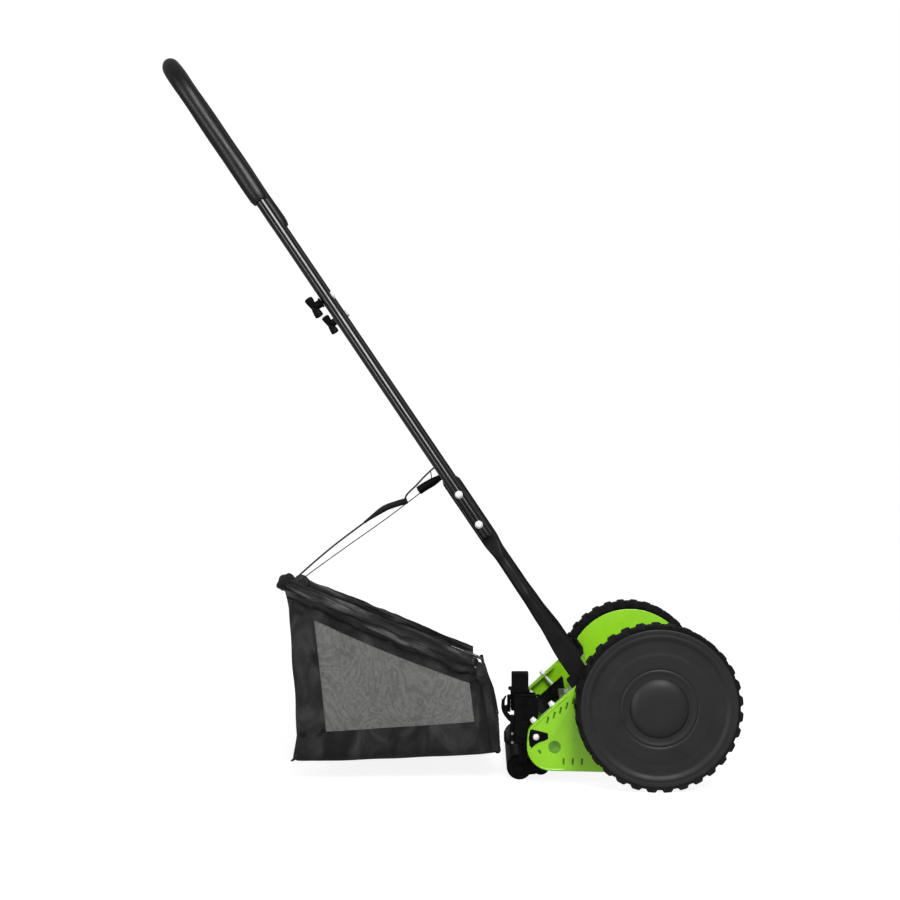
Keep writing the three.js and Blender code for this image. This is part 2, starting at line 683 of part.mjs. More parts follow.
function wheelDisc() {
  const faceY = 204;
  const profile = [
    [AXLE_RADIUS + BORE_GAP, 166],
    [16, 166],
    [16, 188],
    [40, 198],
    [RING_ROOT_RADIUS + 1, 198],
    [RING_ROOT_RADIUS + 1, GEAR_INNER_Y],
    [RING_BACK_RADIUS, GEAR_INNER_Y],
    [RING_BACK_RADIUS, 198],
    [RIM_RADIUS - 4, 198],
    [RIM_RADIUS - 4, GEAR_INNER_Y],
    [RIM_RADIUS, GEAR_INNER_Y],
    [RIM_RADIUS, faceY + 1.5],
    [90, faceY + 1.5],
    [87, faceY - 2],
    [34, faceY - 2],
    [34, HUB_OUTER_Y],
    [AXLE_RADIUS + BORE_GAP, HUB_OUTER_Y],
  ];
  const pitch = (2 * Math.PI) / RING_TEETH;
  const rootAngle = THREE.MathUtils.degToRad(2.1);
  const tipAngle = THREE.MathUtils.degToRad(1.0);
  const ring = new THREE.Shape().absarc(0, 0, RING_ROOT_RADIUS + 2.5, 0, 2 * Math.PI, false);
  const phase = REEL_DIRECTION + pitch / 2;
  const teeth = toothed(RING_TEETH, RING_ROOT_RADIUS, RING_TIP_RADIUS, rootAngle, tipAngle, phase);
  ring.holes.push(new THREE.Path(teeth));
  return join(turned(profile, WHEEL_SIDES), plate(ring, GEAR_INNER_Y, GEAR_OUTER_Y, WHEEL_SIDES / 2));
}
addPair(wheels, 'wheel_disc', wheelDisc(), wheelPlastic);

function hubCap() {
  const seat = 202 + GAP;
  const profile = [
    [0, 199],
    [33.6, 199],
    [33.6, seat],
    [39, seat],
    [36, 205.4],
    [22, 208],
    [0, 209],
  ];
  const points = profile.reverse().map(([radius, outward]) => new THREE.Vector2(radius, -outward));
  return new THREE.LatheGeometry(points, WHEEL_SIDES);
}
addPair(wheels, 'hub_cap', hubCap(), wheelPlastic);

// Reel and its drive ---------------------------------------------------------------------------
const reel = groupAt(model, REEL_X, REEL_Z);
const SHAFT_RADIUS = 6;
const DRIVE_RADIUS = 5;
const PINION = { inner: 166, wall: 175, outer: 178 };
const PAWL = { width: 3, depth: 6, length: 17, y: 170.5 };
const SPIDER_PLACES = { right: -105, middle: 0, left: 105 };
const BLADE_INNER_RADIUS = 41;
const BLADE_THICKNESS = 2.4;

function reelBearing() {
  return cut(
    join(
      rod(BEARING_RADIUS, REEL_X, REEL_Z, -PLATE_INNER_Y + 1, -PLATE_OUTER_Y - 2),
      rod(15, REEL_X, REEL_Z, -PLATE_INNER_Y + GAP, -PLATE_INNER_Y + 3.5),
    ),
    throughHole(SHAFT_RADIUS, REEL_X, REEL_Z),
  );
}
addPair(chassis, 'reel_bearing', reelBearing(), bladeSteel);

function pawlSlot() {
  const slack = 2 * GAP;
  const slot = box(PAWL.length * 2, PAWL.depth + slack, PAWL.width + slack, 0, -PAWL.y, 0);
  return slot.rotateY(-REEL_DIRECTION);
}

function reelShaft() {
  const end = 181;
  const step = 164.5;
  const bar = join(rod(SHAFT_RADIUS, 0, 0, -step, step), rod(DRIVE_RADIUS, 0, 0, -end, end));
  return cut(bar, pawlSlot(), mirrored(pawlSlot()));
}
add(reel, 'reel_shaft', reelShaft(), bladeSteel);

// A helical blade is a straight bar twisted about the shaft.
function twistAt(y) {
  return (REEL_TWIST * y) / (2 * REEL_HALF_LENGTH);
}

function reelBlade(index) {
  const depth = REEL_RADIUS - BLADE_INNER_RADIUS;
  const bar = new THREE.BoxGeometry(depth, 2 * REEL_HALF_LENGTH, BLADE_THICKNESS, 1, 20, 1);
  bar.translate(BLADE_INNER_RADIUS + depth / 2, 0, 0);
  const position = bar.attributes.position;
  const point = new THREE.Vector3();
  const axis = new THREE.Vector3(0, 1, 0);
  for (let corner = 0; corner < position.count; corner += 1) {
    point.fromBufferAttribute(position, corner);
    point.applyAxisAngle(axis, twistAt(point.y) + (index * 2 * Math.PI) / REEL_BLADES);
    position.setXYZ(corner, point.x, point.y, point.z);
  }
  return bar;
}
for (let index = 0; index < REEL_BLADES; index += 1) {
  add(reel, `reel_blade_${index + 1}`, reelBlade(index), bladeSteel);
}

function reelSpider(y) {
  const thickness = 3;
  const armAngle = THREE.MathUtils.degToRad(9);
  const star = new THREE.Shape(
    toothed(REEL_BLADES, 17, BLADE_INNER_RADIUS - GAP, armAngle * 2.6, armAngle, -twistAt(y)),
  );
  star.holes.push(circle(SHAFT_RADIUS + BORE_GAP));
  return plate(star, -y - thickness / 2, -y + thickness / 2, 8);
}
for (const [place, y] of Object.entries(SPIDER_PLACES)) {
  add(reel, `reel_spider_${place}`, reelSpider(y), bladeSteel);
}

function pinion() {
  const rootAngle = THREE.MathUtils.degToRad(11);
  const tipAngle = THREE.MathUtils.degToRad(4.2);
  const root = PINION_PITCH_RADIUS - 3.2;
  const tip = PINION_PITCH_RADIUS + 2.6;
  const teeth = new THREE.Shape(toothed(PINION_TEETH, root, tip, rootAngle, tipAngle, REEL_DIRECTION));
  return cut(
    plate(teeth, PINION.inner, PINION.outer),
    rod(9.4, 0, 0, -PINION.inner + 1, -PINION.wall),
    rod(DRIVE_RADIUS + BORE_GAP, 0, 0, -PINION.inner, -PINION.outer - 1),
  );
}
addPair(reel, 'pinion', pinion(), bladeSteel);

function pawl() {
  return box(PAWL.length, PAWL.depth, PAWL.width, 0, -PAWL.y, 0).rotateY(-REEL_DIRECTION);
}
addPair(reel, 'pawl', pawl(), zinc);

// Handle ---------------------------------------------------------------------------------------
// Inside this group +Z runs up the handle from its pivot and +X points to its front.
const handle = groupAt(model, PIVOT_X, PIVOT_Z);
handle.rotation.y = -HANDLE_LEAN;
const LAP_HALF_THICKNESS = 2.4;
const LAP_WIDTH = 20;
const LEG_OFFSET = 11; // lower leg inside the middle tube where they overlap
const PADDLE = { inner: 151, outer: 155, bottom: -13, top: 78 };
const LAP_SLAB = { start: 224, end: 345, thickness: 5, width: 22 };

function legY(along) {
  return LEG_HALF_WIDTH - SPLAY * along;
}

function crossBolt(radius, along, innerOffset, outerOffset, sides) {
  const centre = (innerOffset + outerOffset) / 2;
  const bar = new THREE.CylinderGeometry(radius, radius, outerOffset - innerOffset, sides);
  return bar.translate(0, -centre, 0).rotateX(-Math.atan(SPLAY)).translate(0, -legY(along), along);
}

function lowerLeg() {
  const tubeEnd = 236;
  const foot = new THREE.Vector3(0, -LEG_HALF_WIDTH, 62);
  const lap = new THREE.Vector3(0, -(legY(tubeEnd) - LEG_OFFSET), tubeEnd);
  const tube = swept([foot, lap], TUBE_RADIUS, TUBE_WALL);
  const paddle = outline([
    [-PADDLE_HALF_WIDTH, PADDLE.bottom, PADDLE_HALF_WIDTH - 0.5],
    [PADDLE_HALF_WIDTH, PADDLE.bottom, PADDLE_HALF_WIDTH - 0.5],
    [PADDLE_HALF_WIDTH, PADDLE.top - 20, 10],
    [TUBE_RADIUS, PADDLE.top, 4],
    [-TUBE_RADIUS, PADDLE.top, 4],
    [-PADDLE_HALF_WIDTH, PADDLE.top - 20, 10],
  ]);
  const slabCentre = (LAP_SLAB.start + LAP_SLAB.end) / 2;
  const slab = new THREE.BoxGeometry(LAP_SLAB.width, LAP_SLAB.thickness, LAP_SLAB.end - LAP_SLAB.start);
  slab.rotateX(-Math.atan(SPLAY)).translate(0, -(legY(slabCentre) - LEG_OFFSET), slabCentre);
  const holes = Object.values(BOLT_HEIGHTS).map((along) => crossBolt(3 + BORE_GAP, along, -20, 20, COARSE));
  return cut(
    join(tube, plate(paddle, PADDLE.inner, PADDLE.outer, 4), slab),
    throughHole(PIVOT_BOLT_RADIUS, 0, 0),
    ...holes,
  );
}
addPair(handle, 'handle_lower', lowerLeg(), blackPaint);

// A round bar square to the plane of the handle, at the upper joint.
function knobBar(radius, rearX, frontX, sides) {
  const bar = new THREE.CylinderGeometry(radius, radius, frontX - rearX, sides).rotateZ(Math.PI / 2);
  return bar.translate((rearX + frontX) / 2, -HANDLE_HALF_WIDTH, UPPER_JOINT);
}

function middleFrame() {
  const start = 248;
  const end = 615;
  const tube = swept(
    [new THREE.Vector3(0, -legY(start), start), new THREE.Vector3(0, -legY(end), end)],
    TUBE_RADIUS,
    TUBE_WALL,
  );
  const behind = -LAP_HALF_THICKNESS - 0.2;
  const lap = box(2 * LAP_HALF_THICKNESS, LAP_WIDTH, 68, behind, -HANDLE_HALF_WIDTH, 634);
  const side = cut(
    join(tube, lap),
    crossBolt(3 + BORE_GAP, BOLT_HEIGHTS.lower, -20, 20, COARSE),
    crossBolt(3 + BORE_GAP, BOLT_HEIGHTS.upper, -20, 20, COARSE),
    knobBar(3 + BORE_GAP, -20, 20, COARSE),
  );
  const reach = legY(BRACE_HEIGHT) - TUBE_RADIUS + 1;
  return join(side, mirrored(side), rod(BRACE_RADIUS, 0, BRACE_HEIGHT, -reach, reach, COARSE));
}

add(handle, 'handle_middle', middleFrame(), blackPaint);

function handleTubePath(start) {
  const corners = [
    [0, -HANDLE_HALF_WIDTH, start],
    [0, -HANDLE_HALF_WIDTH, HANDLE_LENGTH],
    [0, HANDLE_HALF_WIDTH, HANDLE_LENGTH],
    [0, HANDLE_HALF_WIDTH, start],
  ];
  return bent(corners, 75, 6);
}

function upperHandle() {
  const lap = box(2 * LAP_HALF_THICKNESS, LAP_WIDTH, 68, LAP_HALF_THICKNESS + 0.2, -HANDLE_HALF_WIDTH, 656);
  const lapEnd = cut(lap, knobBar(3 + BORE_GAP, -20, 20, COARSE));
  return join(swept(handleTubePath(675), TUBE_RADIUS, TUBE_WALL), lapEnd, mirrored(lapEnd));
}
add(handle, 'handle_upper', upperHandle(), blackPaint);
const GRIP_WALL = GRIP_RADIUS - TUBE_RADIUS - GAP;
add(handle, 'foam_grip', swept(handleTubePath(GRIP_START), GRIP_RADIUS, GRIP_WALL), foam);

function jointBolt(along) {
  const headSeat = TUBE_RADIUS + GAP;
  const nutSeat = -LEG_OFFSET - LAP_SLAB.thickness / 2 - GAP;
  return join(
    crossBolt(3, along, nutSeat - 4, headSeat + 2, COARSE),
    crossBolt(5.5, along, headSeat, headSeat + 3.4, COARSE),
    crossBolt(5.5, along, nutSeat - 4.4, nutSeat, 6),
  );
}
for (const [place, along] of Object.entries(BOLT_HEIGHTS)) {
  addPair(handle, `joint_bolt_${place}`, jointBolt(along), zinc);
}

function wingKnob() {
  const seat = -2 * LAP_HALF_THICKNESS - 0.2 - GAP;
  return join(
    knobBar(3, seat - 4, 2 * LAP_HALF_THICKNESS + 4, COARSE),
    knobBar(6, seat - 9, seat, COARSE),
    box(9, 11, 25, seat - 12.5, -HANDLE_HALF_WIDTH, UPPER_JOINT),
  );
}
addPair(handle, 'wing_knob', wingKnob(), blackPlastic);

// Grass catcher --------------------------------------------------------------------------------
// The wire frame hangs by its cross wire in the two hooks. The bag is open at its top and front.
const catcher = groupAt(model, 0, 0);
const FRAME_TOP = { x: -230.9, z: 157 };
const FRAME_BOTTOM = { x: -211, z: 43 };
const RAIL_FRONT = { x: -229.7, z: 151 };
const RAIL_REAR = { x: -500, z: 262 };

function frontFrameX(z) {
  const share = (z - FRAME_BOTTOM.z) / (FRAME_TOP.z - FRAME_BOTTOM.z);
  return FRAME_BOTTOM.x + share * (FRAME_TOP.x - FRAME_BOTTOM.x);
}

// A wire that leaves one side, crosses over and comes back down the other side.
function crossingWire(start, corner, bend) {
  const corners = [
    [start.x, -WIRE_Y, start.z],
    [corner.x, -WIRE_Y, corner.z],
    [corner.x, WIRE_Y, corner.z],
    [start.x, WIRE_Y, start.z],
  ];
  return swept(bent(corners, bend, 3), WIRE_RADIUS, 0, 6);
}

function catcherFrame() {
  return join(
    crossingWire(FRAME_TOP, FRAME_BOTTOM, 10),
    crossingWire(RAIL_FRONT, RAIL_REAR, COARSE),
    crossingWire({ x: frontFrameX(HOOK_Z), z: HOOK_Z }, { x: HOOK_X, z: HOOK_Z }, 6),
  );
}
add(catcher, 'catcher_frame', catcherFrame(), blackPaint);

function catcherBag() {
  const wall = 3;
  const half = 148.5;
  const outer = [
    [-234, 146.5, 0],
    [-499, 255.5, 0],
    [-487, 29, 8],
    [-215.5, 41, 0],
  ];
  const hollow = [
    [-150, 146.5 - 84 * 0.4113, 0],
    [-234, 260, 0],
    [-499 + wall, 330, 0],
    [-487 + wall, 29 + wall, 6],
    [-150, 44 + wall - 0.1, 0],
  ];
  return cut(plate(outline(outer), -half, half), plate(outline(hollow), -half + wall, half - wall));
}
add(catcher, 'catcher_bag', catcherBag(), fabric);

// The elastic cord runs from the rear of the bag, through the eye of its hook, and back.
const BRACE_X = PIVOT_X + HANDLE_UP.x * BRACE_HEIGHT;
const BRACE_Z = PIVOT_Z + HANDLE_UP.y * BRACE_HEIGHT;
const CORD_SLOPE = new THREE.Vector2(BRACE_X - RAIL_REAR.x, BRACE_Z - RAIL_REAR.z).normalize();

function onCord(distanceFromBrace, y, lift = 0) {
  const x = BRACE_X - CORD_SLOPE.x * distanceFromBrace - CORD_SLOPE.y * lift;
  const z = BRACE_Z - CORD_SLOPE.y * distanceFromBrace + CORD_SLOPE.x * lift;
  return [x, y, z];
}

function catcherCord() {
  const reach = Math.hypot(BRACE_X - RAIL_REAR.x, BRACE_Z - RAIL_REAR.z) - 7;
  const corners = [onCord(reach, -CORD_HALF_SPREAD), onCord(33, 0), onCord(reach, CORD_HALF_SPREAD)];
  return swept(bent(corners, 2.4, 4), CORD_RADIUS, 0, 6);
}
add(catcher, 'catcher_cord', catcherCord(), cordFabric);

function cordHook() {
  const thickness = 2.2;
  const ringRadius = BRACE_RADIUS + GAP + thickness;
  const start = Math.atan2(-CORD_SLOPE.y, -CORD_SLOPE.x);
  const ring = [];
  const steps = 12;
  for (let step = 0; step <= steps; step += 1) {
    const angle = start - (step / steps) * Math.PI * 1.4;
    const x = BRACE_X + ringRadius * Math.cos(angle);
    ring.push(new THREE.Vector3(x, 0, BRACE_Z + ringRadius * Math.sin(angle)));
  }
  const shank = [new THREE.Vector3(...onCord(ringRadius - 1, 0)), new THREE.Vector3(...onCord(26, 0))];
  return join(swept(ring, thickness, 0, 6), swept(shank, 3, 0, 6));
}
add(catcher, 'cord_hook', cordHook(), blackPlastic);

// Origin: on the ground, under the middle of the bounding box ------------------------------------
mower.updateMatrixWorld(true);
const middle = new THREE.Box3().setFromObject(mower, true).getCenter(new THREE.Vector3());
model.position.x = -middle.x;
mower.updateMatrixWorld(true);

export default mower;
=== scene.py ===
"""The looks of the hand-pushed reel mower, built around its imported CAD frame.

Shapes are written in millimetres, with X measured from the wheel axle. The right side of the
mower, at negative Y, faces the camera. place() turns such a point into the row frame in metres.
"""

import math

import bmesh
import bpy
from mathutils import Matrix, Vector, noise


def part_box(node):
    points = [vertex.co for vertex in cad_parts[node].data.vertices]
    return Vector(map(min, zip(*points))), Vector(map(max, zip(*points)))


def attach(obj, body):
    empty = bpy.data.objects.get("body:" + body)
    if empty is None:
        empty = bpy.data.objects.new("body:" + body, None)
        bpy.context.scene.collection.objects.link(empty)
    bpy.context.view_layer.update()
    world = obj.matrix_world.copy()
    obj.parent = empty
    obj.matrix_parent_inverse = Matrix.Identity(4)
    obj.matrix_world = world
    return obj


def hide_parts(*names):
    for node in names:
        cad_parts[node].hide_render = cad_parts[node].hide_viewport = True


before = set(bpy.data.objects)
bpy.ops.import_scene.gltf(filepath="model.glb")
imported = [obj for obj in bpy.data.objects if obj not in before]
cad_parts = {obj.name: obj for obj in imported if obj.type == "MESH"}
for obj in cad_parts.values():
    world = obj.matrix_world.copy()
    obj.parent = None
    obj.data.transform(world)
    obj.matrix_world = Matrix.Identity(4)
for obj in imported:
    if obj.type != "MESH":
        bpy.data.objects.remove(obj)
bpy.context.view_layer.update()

MM = 0.001
AXLE_X = sum(corner.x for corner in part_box("tyre_right")) / 2
SIDES = {"right": 1, "left": -1}

# Sizes that the CAD part sets ---------------------------------------------------------------
WHEEL_RADIUS = 110
TYRE_INNER_Y = 163
TYRE_OUTER_Y = 207
LUG_COUNT = 32
RIM_RADIUS = 96
RING_TEETH = 52
PLATE_INNER_Y = 158
PLATE_OUTER_Y = 160.5
PLATE_DISC_RADIUS = 98
FLANGE_EDGE_Y = 144
REEL_DIRECTION = math.radians(205.4)
REEL_X = 63 * math.cos(REEL_DIRECTION)
REEL_Z = WHEEL_RADIUS + 63 * math.sin(REEL_DIRECTION)
REEL_RADIUS = 58
REEL_HALF_LENGTH = 146.5
REEL_BLADES = 5
TIE_ROD = (34, 138)
PIVOT = Vector((-87.7, 0, 128.5))
HANDLE_LEAN = math.radians(34.07)
HANDLE_UP = Vector((-math.sin(HANDLE_LEAN), 0, math.cos(HANDLE_LEAN)))
HANDLE_FRONT = Vector((math.cos(HANDLE_LEAN), 0, math.sin(HANDLE_LEAN)))
HANDLE_LENGTH = 1057
HANDLE_HALF_WIDTH = 97
LEG_HALF_WIDTH = 153
SPLAY = (LEG_HALF_WIDTH - HANDLE_HALF_WIDTH) / 615
LEG_OFFSET = 11
TUBE_RADIUS = 8
UPPER_JOINT = 645
BRACE_HEIGHT = 362
GRIP_START = 809
GRIP_RADIUS = 13
BOLT_HEIGHTS = {"lower": 267, "upper": 316}
ROLLER = (-182, 17.4)
ROLLER_RADIUS = 17.4
ROLLER_HALF_LENGTH = 126
WIRE_Y = 147
WIRE_RADIUS = 2.5
FRAME_TOP = (-230.9, 157)
FRAME_BOTTOM = (-211, 43)
RAIL_FRONT = (-229.7, 151)
RAIL_REAR = (-500, 262)
RAIL_LEAN = math.atan2(RAIL_REAR[1] - RAIL_FRONT[1], RAIL_FRONT[0] - RAIL_REAR[0])
HOOK_LINE = (-197.5, 62)
RIM_DROP = 20
RIM_BACK = {"front": 4, "rear": 17}


# Geometry -----------------------------------------------------------------------------------
def place(point):
    """A point of the row frame, in metres, from one in millimetres about the wheel axle."""
    return Vector((AXLE_X + point[0] * MM, point[1] * MM, point[2] * MM))


def merge(*parts):
    """One part from several. A part is a pair of vertices and faces."""
    vertices, faces = [], []
    for part_vertices, part_faces in parts:
        base = len(vertices)
        vertices.extend(part_vertices)
        faces.extend([tuple(base + index for index in face) for face in part_faces])
    return vertices, faces


def mirror(part):
    vertices, faces = part
    return [(x, -y, z) for x, y, z in vertices], [tuple(reversed(face)) for face in faces]


def on_side(part, side):
    return part if SIDES[side] == 1 else mirror(part)


def lofted(rings, closed=False):
    """A skin over rings of equally many points. An open row of rings gets an end face each."""
    count = len(rings[0])
    last = (len(rings) - 1) * count
    faces = []
    for here in range(0, last + count if closed else last, count):
        there = (here + count) % (last + count)
        for column in range(count):
            after = (column + 1) % count
            faces.append((here + column, here + after, there + after, there + column))
    if not closed:
        faces += [tuple(reversed(range(count))), tuple(range(last, last + count))]
    return [tuple(point) for ring in rings for point in ring], faces


def around(count):
    """Evenly spread angles, once round."""
    return [math.tau * index / count for index in range(count)]


def polar(radius, angle, x, z):
    """The (x, z) place at a radius and an angle from a centre."""
    return x + radius * math.cos(angle), z + radius * math.sin(angle)


def upright(outline, y):
    """A ring at one place along Y, from an outline of (x, z) points."""
    return [(x, y, z) for x, z in outline]


def skin(steps, sides, spot):
    """A skin over rings, where spot(share, angle) is a place along the piece and round it."""
    return lofted([[spot(step / steps, angle) for angle in around(sides)] for step in range(steps + 1)])


def turned(profile, x, z, sides, closed=False):
    """A body of revolution about a line along Y, from (radius, y) points."""
    rings = []
    for radius, y in profile:
        rings.append(upright([polar(radius, angle, x, z) for angle in around(sides)], y))
    return lofted(rings, closed)


def fillet(before, corner, after, radius, steps):
    """Points on the arc that rounds a corner off to a radius."""
    first = (before - corner).normalized()
    second = (after - corner).normalized()
    half = first.angle(second) / 2
    centre = corner + (first + second).normalized() * (radius / math.sin(half))
    start = corner + first * (radius / math.tan(half)) - centre
    end = corner + second * (radius / math.tan(half)) - centre
    sweep = start.angle(end)
    points = []
    for step in range(steps + 1):
        turn = sweep * step / steps
        spoke = start * math.sin(sweep - turn) + end * math.sin(turn)
        points.append(centre + spoke / math.sin(sweep))
    return points


def rounded(corners, steps):
    """An outline with rounded corners, from (x, z, radius) corners."""
    points = []
    for index, (x, z, radius) in enumerate(corners):
        if radius == 0:
            points.append((x, z))
            continue
        before = Vector(corners[index - 1][:2])
        after = Vector(corners[(index + 1) % len(corners)][:2])
        points += [tuple(point) for point in fillet(before, Vector((x, z)), after, radius, steps)]
    return points


def offset(points, distance):
    """An outline moved inwards by a distance."""
    pairs = list(zip(points[-1:] + points[:-1], points))
    sign = 1 if sum(first[0] * second[1] - second[0] * first[1] for first, second in pairs) > 0 else -1
    moved = []
    for index, here in enumerate(points):
        before = Vector(points[index - 1])
        after = Vector(points[(index + 1) % len(points)])
        first = (Vector(here) - before).normalized()
        second = (after - Vector(here)).normalized()
        normal = Vector((-(first.y + second.y), first.x + second.x)).normalized() * sign
        bend = max(0.5, normal.dot(Vector((-first.y, first.x)) * sign))
        moved.append((here[0] + normal.x * distance / bend, here[1] + normal.y * distance / bend))
    return moved


def plate(points, start_y, end_y, edge):
    """A flat plate in the XZ plane with rounded edges."""
    steps = 3
    low, high = min(start_y, end_y), max(start_y, end_y)
    edge = min(edge, (high - low) / 2 - 0.01)
    near, far = [], []
    for step in range(steps + 1):
        angle = math.pi / 2 * step / steps
        outline = offset(points, edge * (1 - math.sin(angle)))
        inset = edge * (1 - math.cos(angle))
        near.append(upright(outline, low + inset))
        far.insert(0, upright(outline, high - inset))
    return lofted(near + far)


def block(x0, x1, y0, y1, z0, z1, radius, edge):
    """A box with rounded corners and edges."""
    corners = [(x0, z0, radius), (x1, z0, radius), (x1, z1, radius), (x0, z1, radius)]
    return plate(rounded(corners, 4), y0, y1, edge)


def path_frames(points, across):
    """A (point, side, up) frame at each point of a path. across is the first side direction."""
    points = [Vector(point) for point in points]
    frames = []
    side = Vector(across)
    for index, point in enumerate(points):
        before = points[max(index - 1, 0)]
        after = points[min(index + 1, len(points) - 1)]
        along = (after - before).normalized()
        side = (side - along * side.dot(along)).normalized()
        frames.append((point, side, along.cross(side)))
    return frames


def swept(points, radius, sides, across=(0, 1, 0), tall=1.0, edge=0.0):
    """A bar along a path. radius may be a function of the share along it and of the angle."""
    frames = path_frames(points, across)
    rings = []
    for index, (point, side, up) in enumerate(frames):
        share = index / (len(frames) - 1)
        ring = []
        for angle in around(sides):
            reach = radius(share, angle) if callable(radius) else radius
            ring.append(point + side * reach * math.cos(angle) + up * reach * tall * math.sin(angle))
        rings.append(ring)
    if edge > 0:
        rings.insert(0, shrunk(rings[0], frames[0], frames[1], edge))
        rings.append(shrunk(rings[-1], frames[-1], frames[-2], edge))
    return lofted(rings)


def shrunk(ring, frame_here, frame_next, edge):
    """A copy of an end ring, smaller and a little further out."""
    centre = frame_here[0]
    outward = (centre - frame_next[0]).normalized() * edge
    return [centre + (point - centre) * (1 - edge / (point - centre).length) + outward for point in ring]


def bar(start, end, radius, sides, edge=0.4):
    """A round bar with small chamfers at its ends."""
    start, end = Vector(start), Vector(end)
    along = (end - start).normalized()
    across = Vector((0, 1, 0)) if abs(along.y) < 0.9 else Vector((1, 0, 0))
    inner = [start + along * edge, end - along * edge]
    return swept(inner, radius, sides, across, edge=edge)


def cross_bar(x, z, start_y, end_y, radius, sides, edge):
    return bar((x, start_y, z), (x, end_y, z), radius, sides, edge)


def bent(corners, radius, steps):
    """A polyline with its inner corners bent to a radius."""
    points = [Vector(corner) for corner in corners]
    path = [points[0]]
    for before, corner, after in zip(points, points[1:], points[2:]):
        path += fillet(before, corner, after, radius, steps)
    path.append(points[-1])
    return path


def finely(path, spacing):
    """The same path with points no further apart than the spacing."""
    fine = [Vector(path[0])]
    for start, end in zip(path, path[1:]):
        start, end = Vector(start), Vector(end)
        count = max(1, round((end - start).length / spacing))
        fine.extend(start.lerp(end, step / count) for step in range(1, count + 1))
    return fine


def smooth_path(points, steps):
    """A smooth curve through points (Catmull-Rom)."""
    points = [Vector(point) for point in points]
    padded = [points[0] * 2 - points[1], *points, points[-1] * 2 - points[-2]]
    path = []
    for index in range(1, len(padded) - 2):
        p0, p1, p2, p3 = padded[index - 1 : index + 3]
        for step in range(steps):
            t = step / steps
            bend = (p0 * 2 - p1 * 5 + p2 * 4 - p3) * t * t + (p1 * 3 - p0 - p2 * 3 + p3) * t**3
            path.append((p1 * 2 + (p2 - p0) * t + bend) / 2)
    path.append(points[-1])
    return path


def ripple(point, size, seed):
    """Smooth noise between -1 and 1, for creases of about a size in millimetres."""
    return noise.noise(Vector(point) / size + Vector((seed, seed * 1.7, seed * 0.3)))


def clamped(value, low=0, high=1):
    return min(max(value, low), high)


def smooth_step(value, low, high):
    share = clamped((value - low) / (high - low))
    return share * share * (3 - 2 * share)


class Surface:
    """A material whose colour, roughness and fine relief all come from procedural nodes."""

    def __init__(self, name, slot, metallic=0.0, coat=0.0, specular=0.5, roughness=0.5):
        self.material = bpy.data.materials.new(name)
        self.material.use_nodes = True
        self.tree = self.material.node_tree
        self.shader = self.tree.nodes["Principled BSDF"]
        self.shader.inputs["Metallic"].default_value = metallic
        self.shader.inputs["Specular IOR Level"].default_value = specular
        self.shader.inputs["Coat Weight"].default_value = coat
        self.shader.inputs["Coat Roughness"].default_value = 0.08
        self.shader.inputs["Roughness"].default_value = roughness
        self.where = self.node("ShaderNodeTexCoord").outputs["Object"]

    def node(self, kind, **settings):
        made = self.tree.nodes.new(kind)
        for name, value in settings.items():
            setattr(made, name, value)
        return made

    def link(self, output, target):
        self.tree.links.new(output, target)

    def grain(self, scale, detail=3.0, stretch=(1, 1, 1), distortion=0.0, lean=0.0):
        """Noise, finer as the scale grows. Stretch scales each axis, once they lean about Y."""
        mapping = self.node("ShaderNodeMapping", vector_type="TEXTURE")
        mapping.inputs["Rotation"].default_value = (0, lean, 0)
        mapping.inputs["Scale"].default_value = [1 / share for share in stretch]
        self.link(self.where, mapping.inputs["Vector"])
        texture = self.node("ShaderNodeTexNoise")
        texture.inputs["Scale"].default_value = scale
        texture.inputs["Detail"].default_value = detail
        texture.inputs["Distortion"].default_value = distortion
        self.link(mapping.outputs["Vector"], texture.inputs["Vector"])
        return texture.outputs["Fac"]

    def bands(self, scale, direction, distortion=0.0, curl=1.0):
        """Parallel bands, bent by noise. A small curl makes the bends long."""
        texture = self.node("ShaderNodeTexWave", bands_direction=direction)
        texture.inputs["Scale"].default_value = scale
        texture.inputs["Distortion"].default_value = distortion
        texture.inputs["Detail Scale"].default_value = curl
        self.link(self.where, texture.inputs["Vector"])
        return texture.outputs["Fac"]

    def maths(self, operation, first, second):
        made = self.node("ShaderNodeMath", operation=operation)
        for value, socket in ((first, made.inputs[0]), (second, made.inputs[1])):
            if isinstance(value, (int, float)):
                socket.default_value = value
            else:
                self.link(value, socket)
        return made.outputs[0]

    def ranged(self, value, source, target):
        made = self.node("ShaderNodeMapRange")
        self.link(value, made.inputs["Value"])
        for name, number in zip(("From Min", "From Max", "To Min", "To Max"), (*source, *target)):
            made.inputs[name].default_value = number
        return made.outputs["Result"]

    def paint(self, value, stops):
        """Colours by a value, from (position, colour) stops. A plain number is a grey."""
        ramp = self.node("ShaderNodeValToRGB")
        elements = ramp.color_ramp.elements
        while len(elements) < len(stops):
            elements.new(0.5)
        for element, (position, colour) in zip(elements, stops):
            element.position = position
            grey = isinstance(colour, float)
            element.color = (colour, colour, colour * 1.02, 1) if grey else (*colour, 1)
        self.link(value, ramp.inputs["Fac"])
        self.link(ramp.outputs["Color"], self.shader.inputs["Base Color"])

    def rough(self, value, low, high):
        self.link(self.ranged(value, (0.3, 0.7), (low, high)), self.shader.inputs["Roughness"])

    def relief(self, value, distance, strength=1.0):
        bump = self.node("ShaderNodeBump")
        bump.inputs["Distance"].default_value = distance * MM
        bump.inputs["Strength"].default_value = strength
        self.link(value, bump.inputs["Height"])
        self.link(bump.outputs["Normal"], self.shader.inputs["Normal"])


def clouded(name, slot, colour, rough, relief, **finish):
    """A surface from three noises, each with its scale first: its colour, roughness and relief."""
    surface = Surface(name, slot, **finish)
    scale, detail, *stops = colour
    surface.paint(surface.grain(scale, detail), stops)
    surface.rough(surface.grain(rough[0]), *rough[1:])
    scale, detail, distance, strength = relief
    surface.relief(surface.grain(scale, detail), distance, strength)
    return surface.material


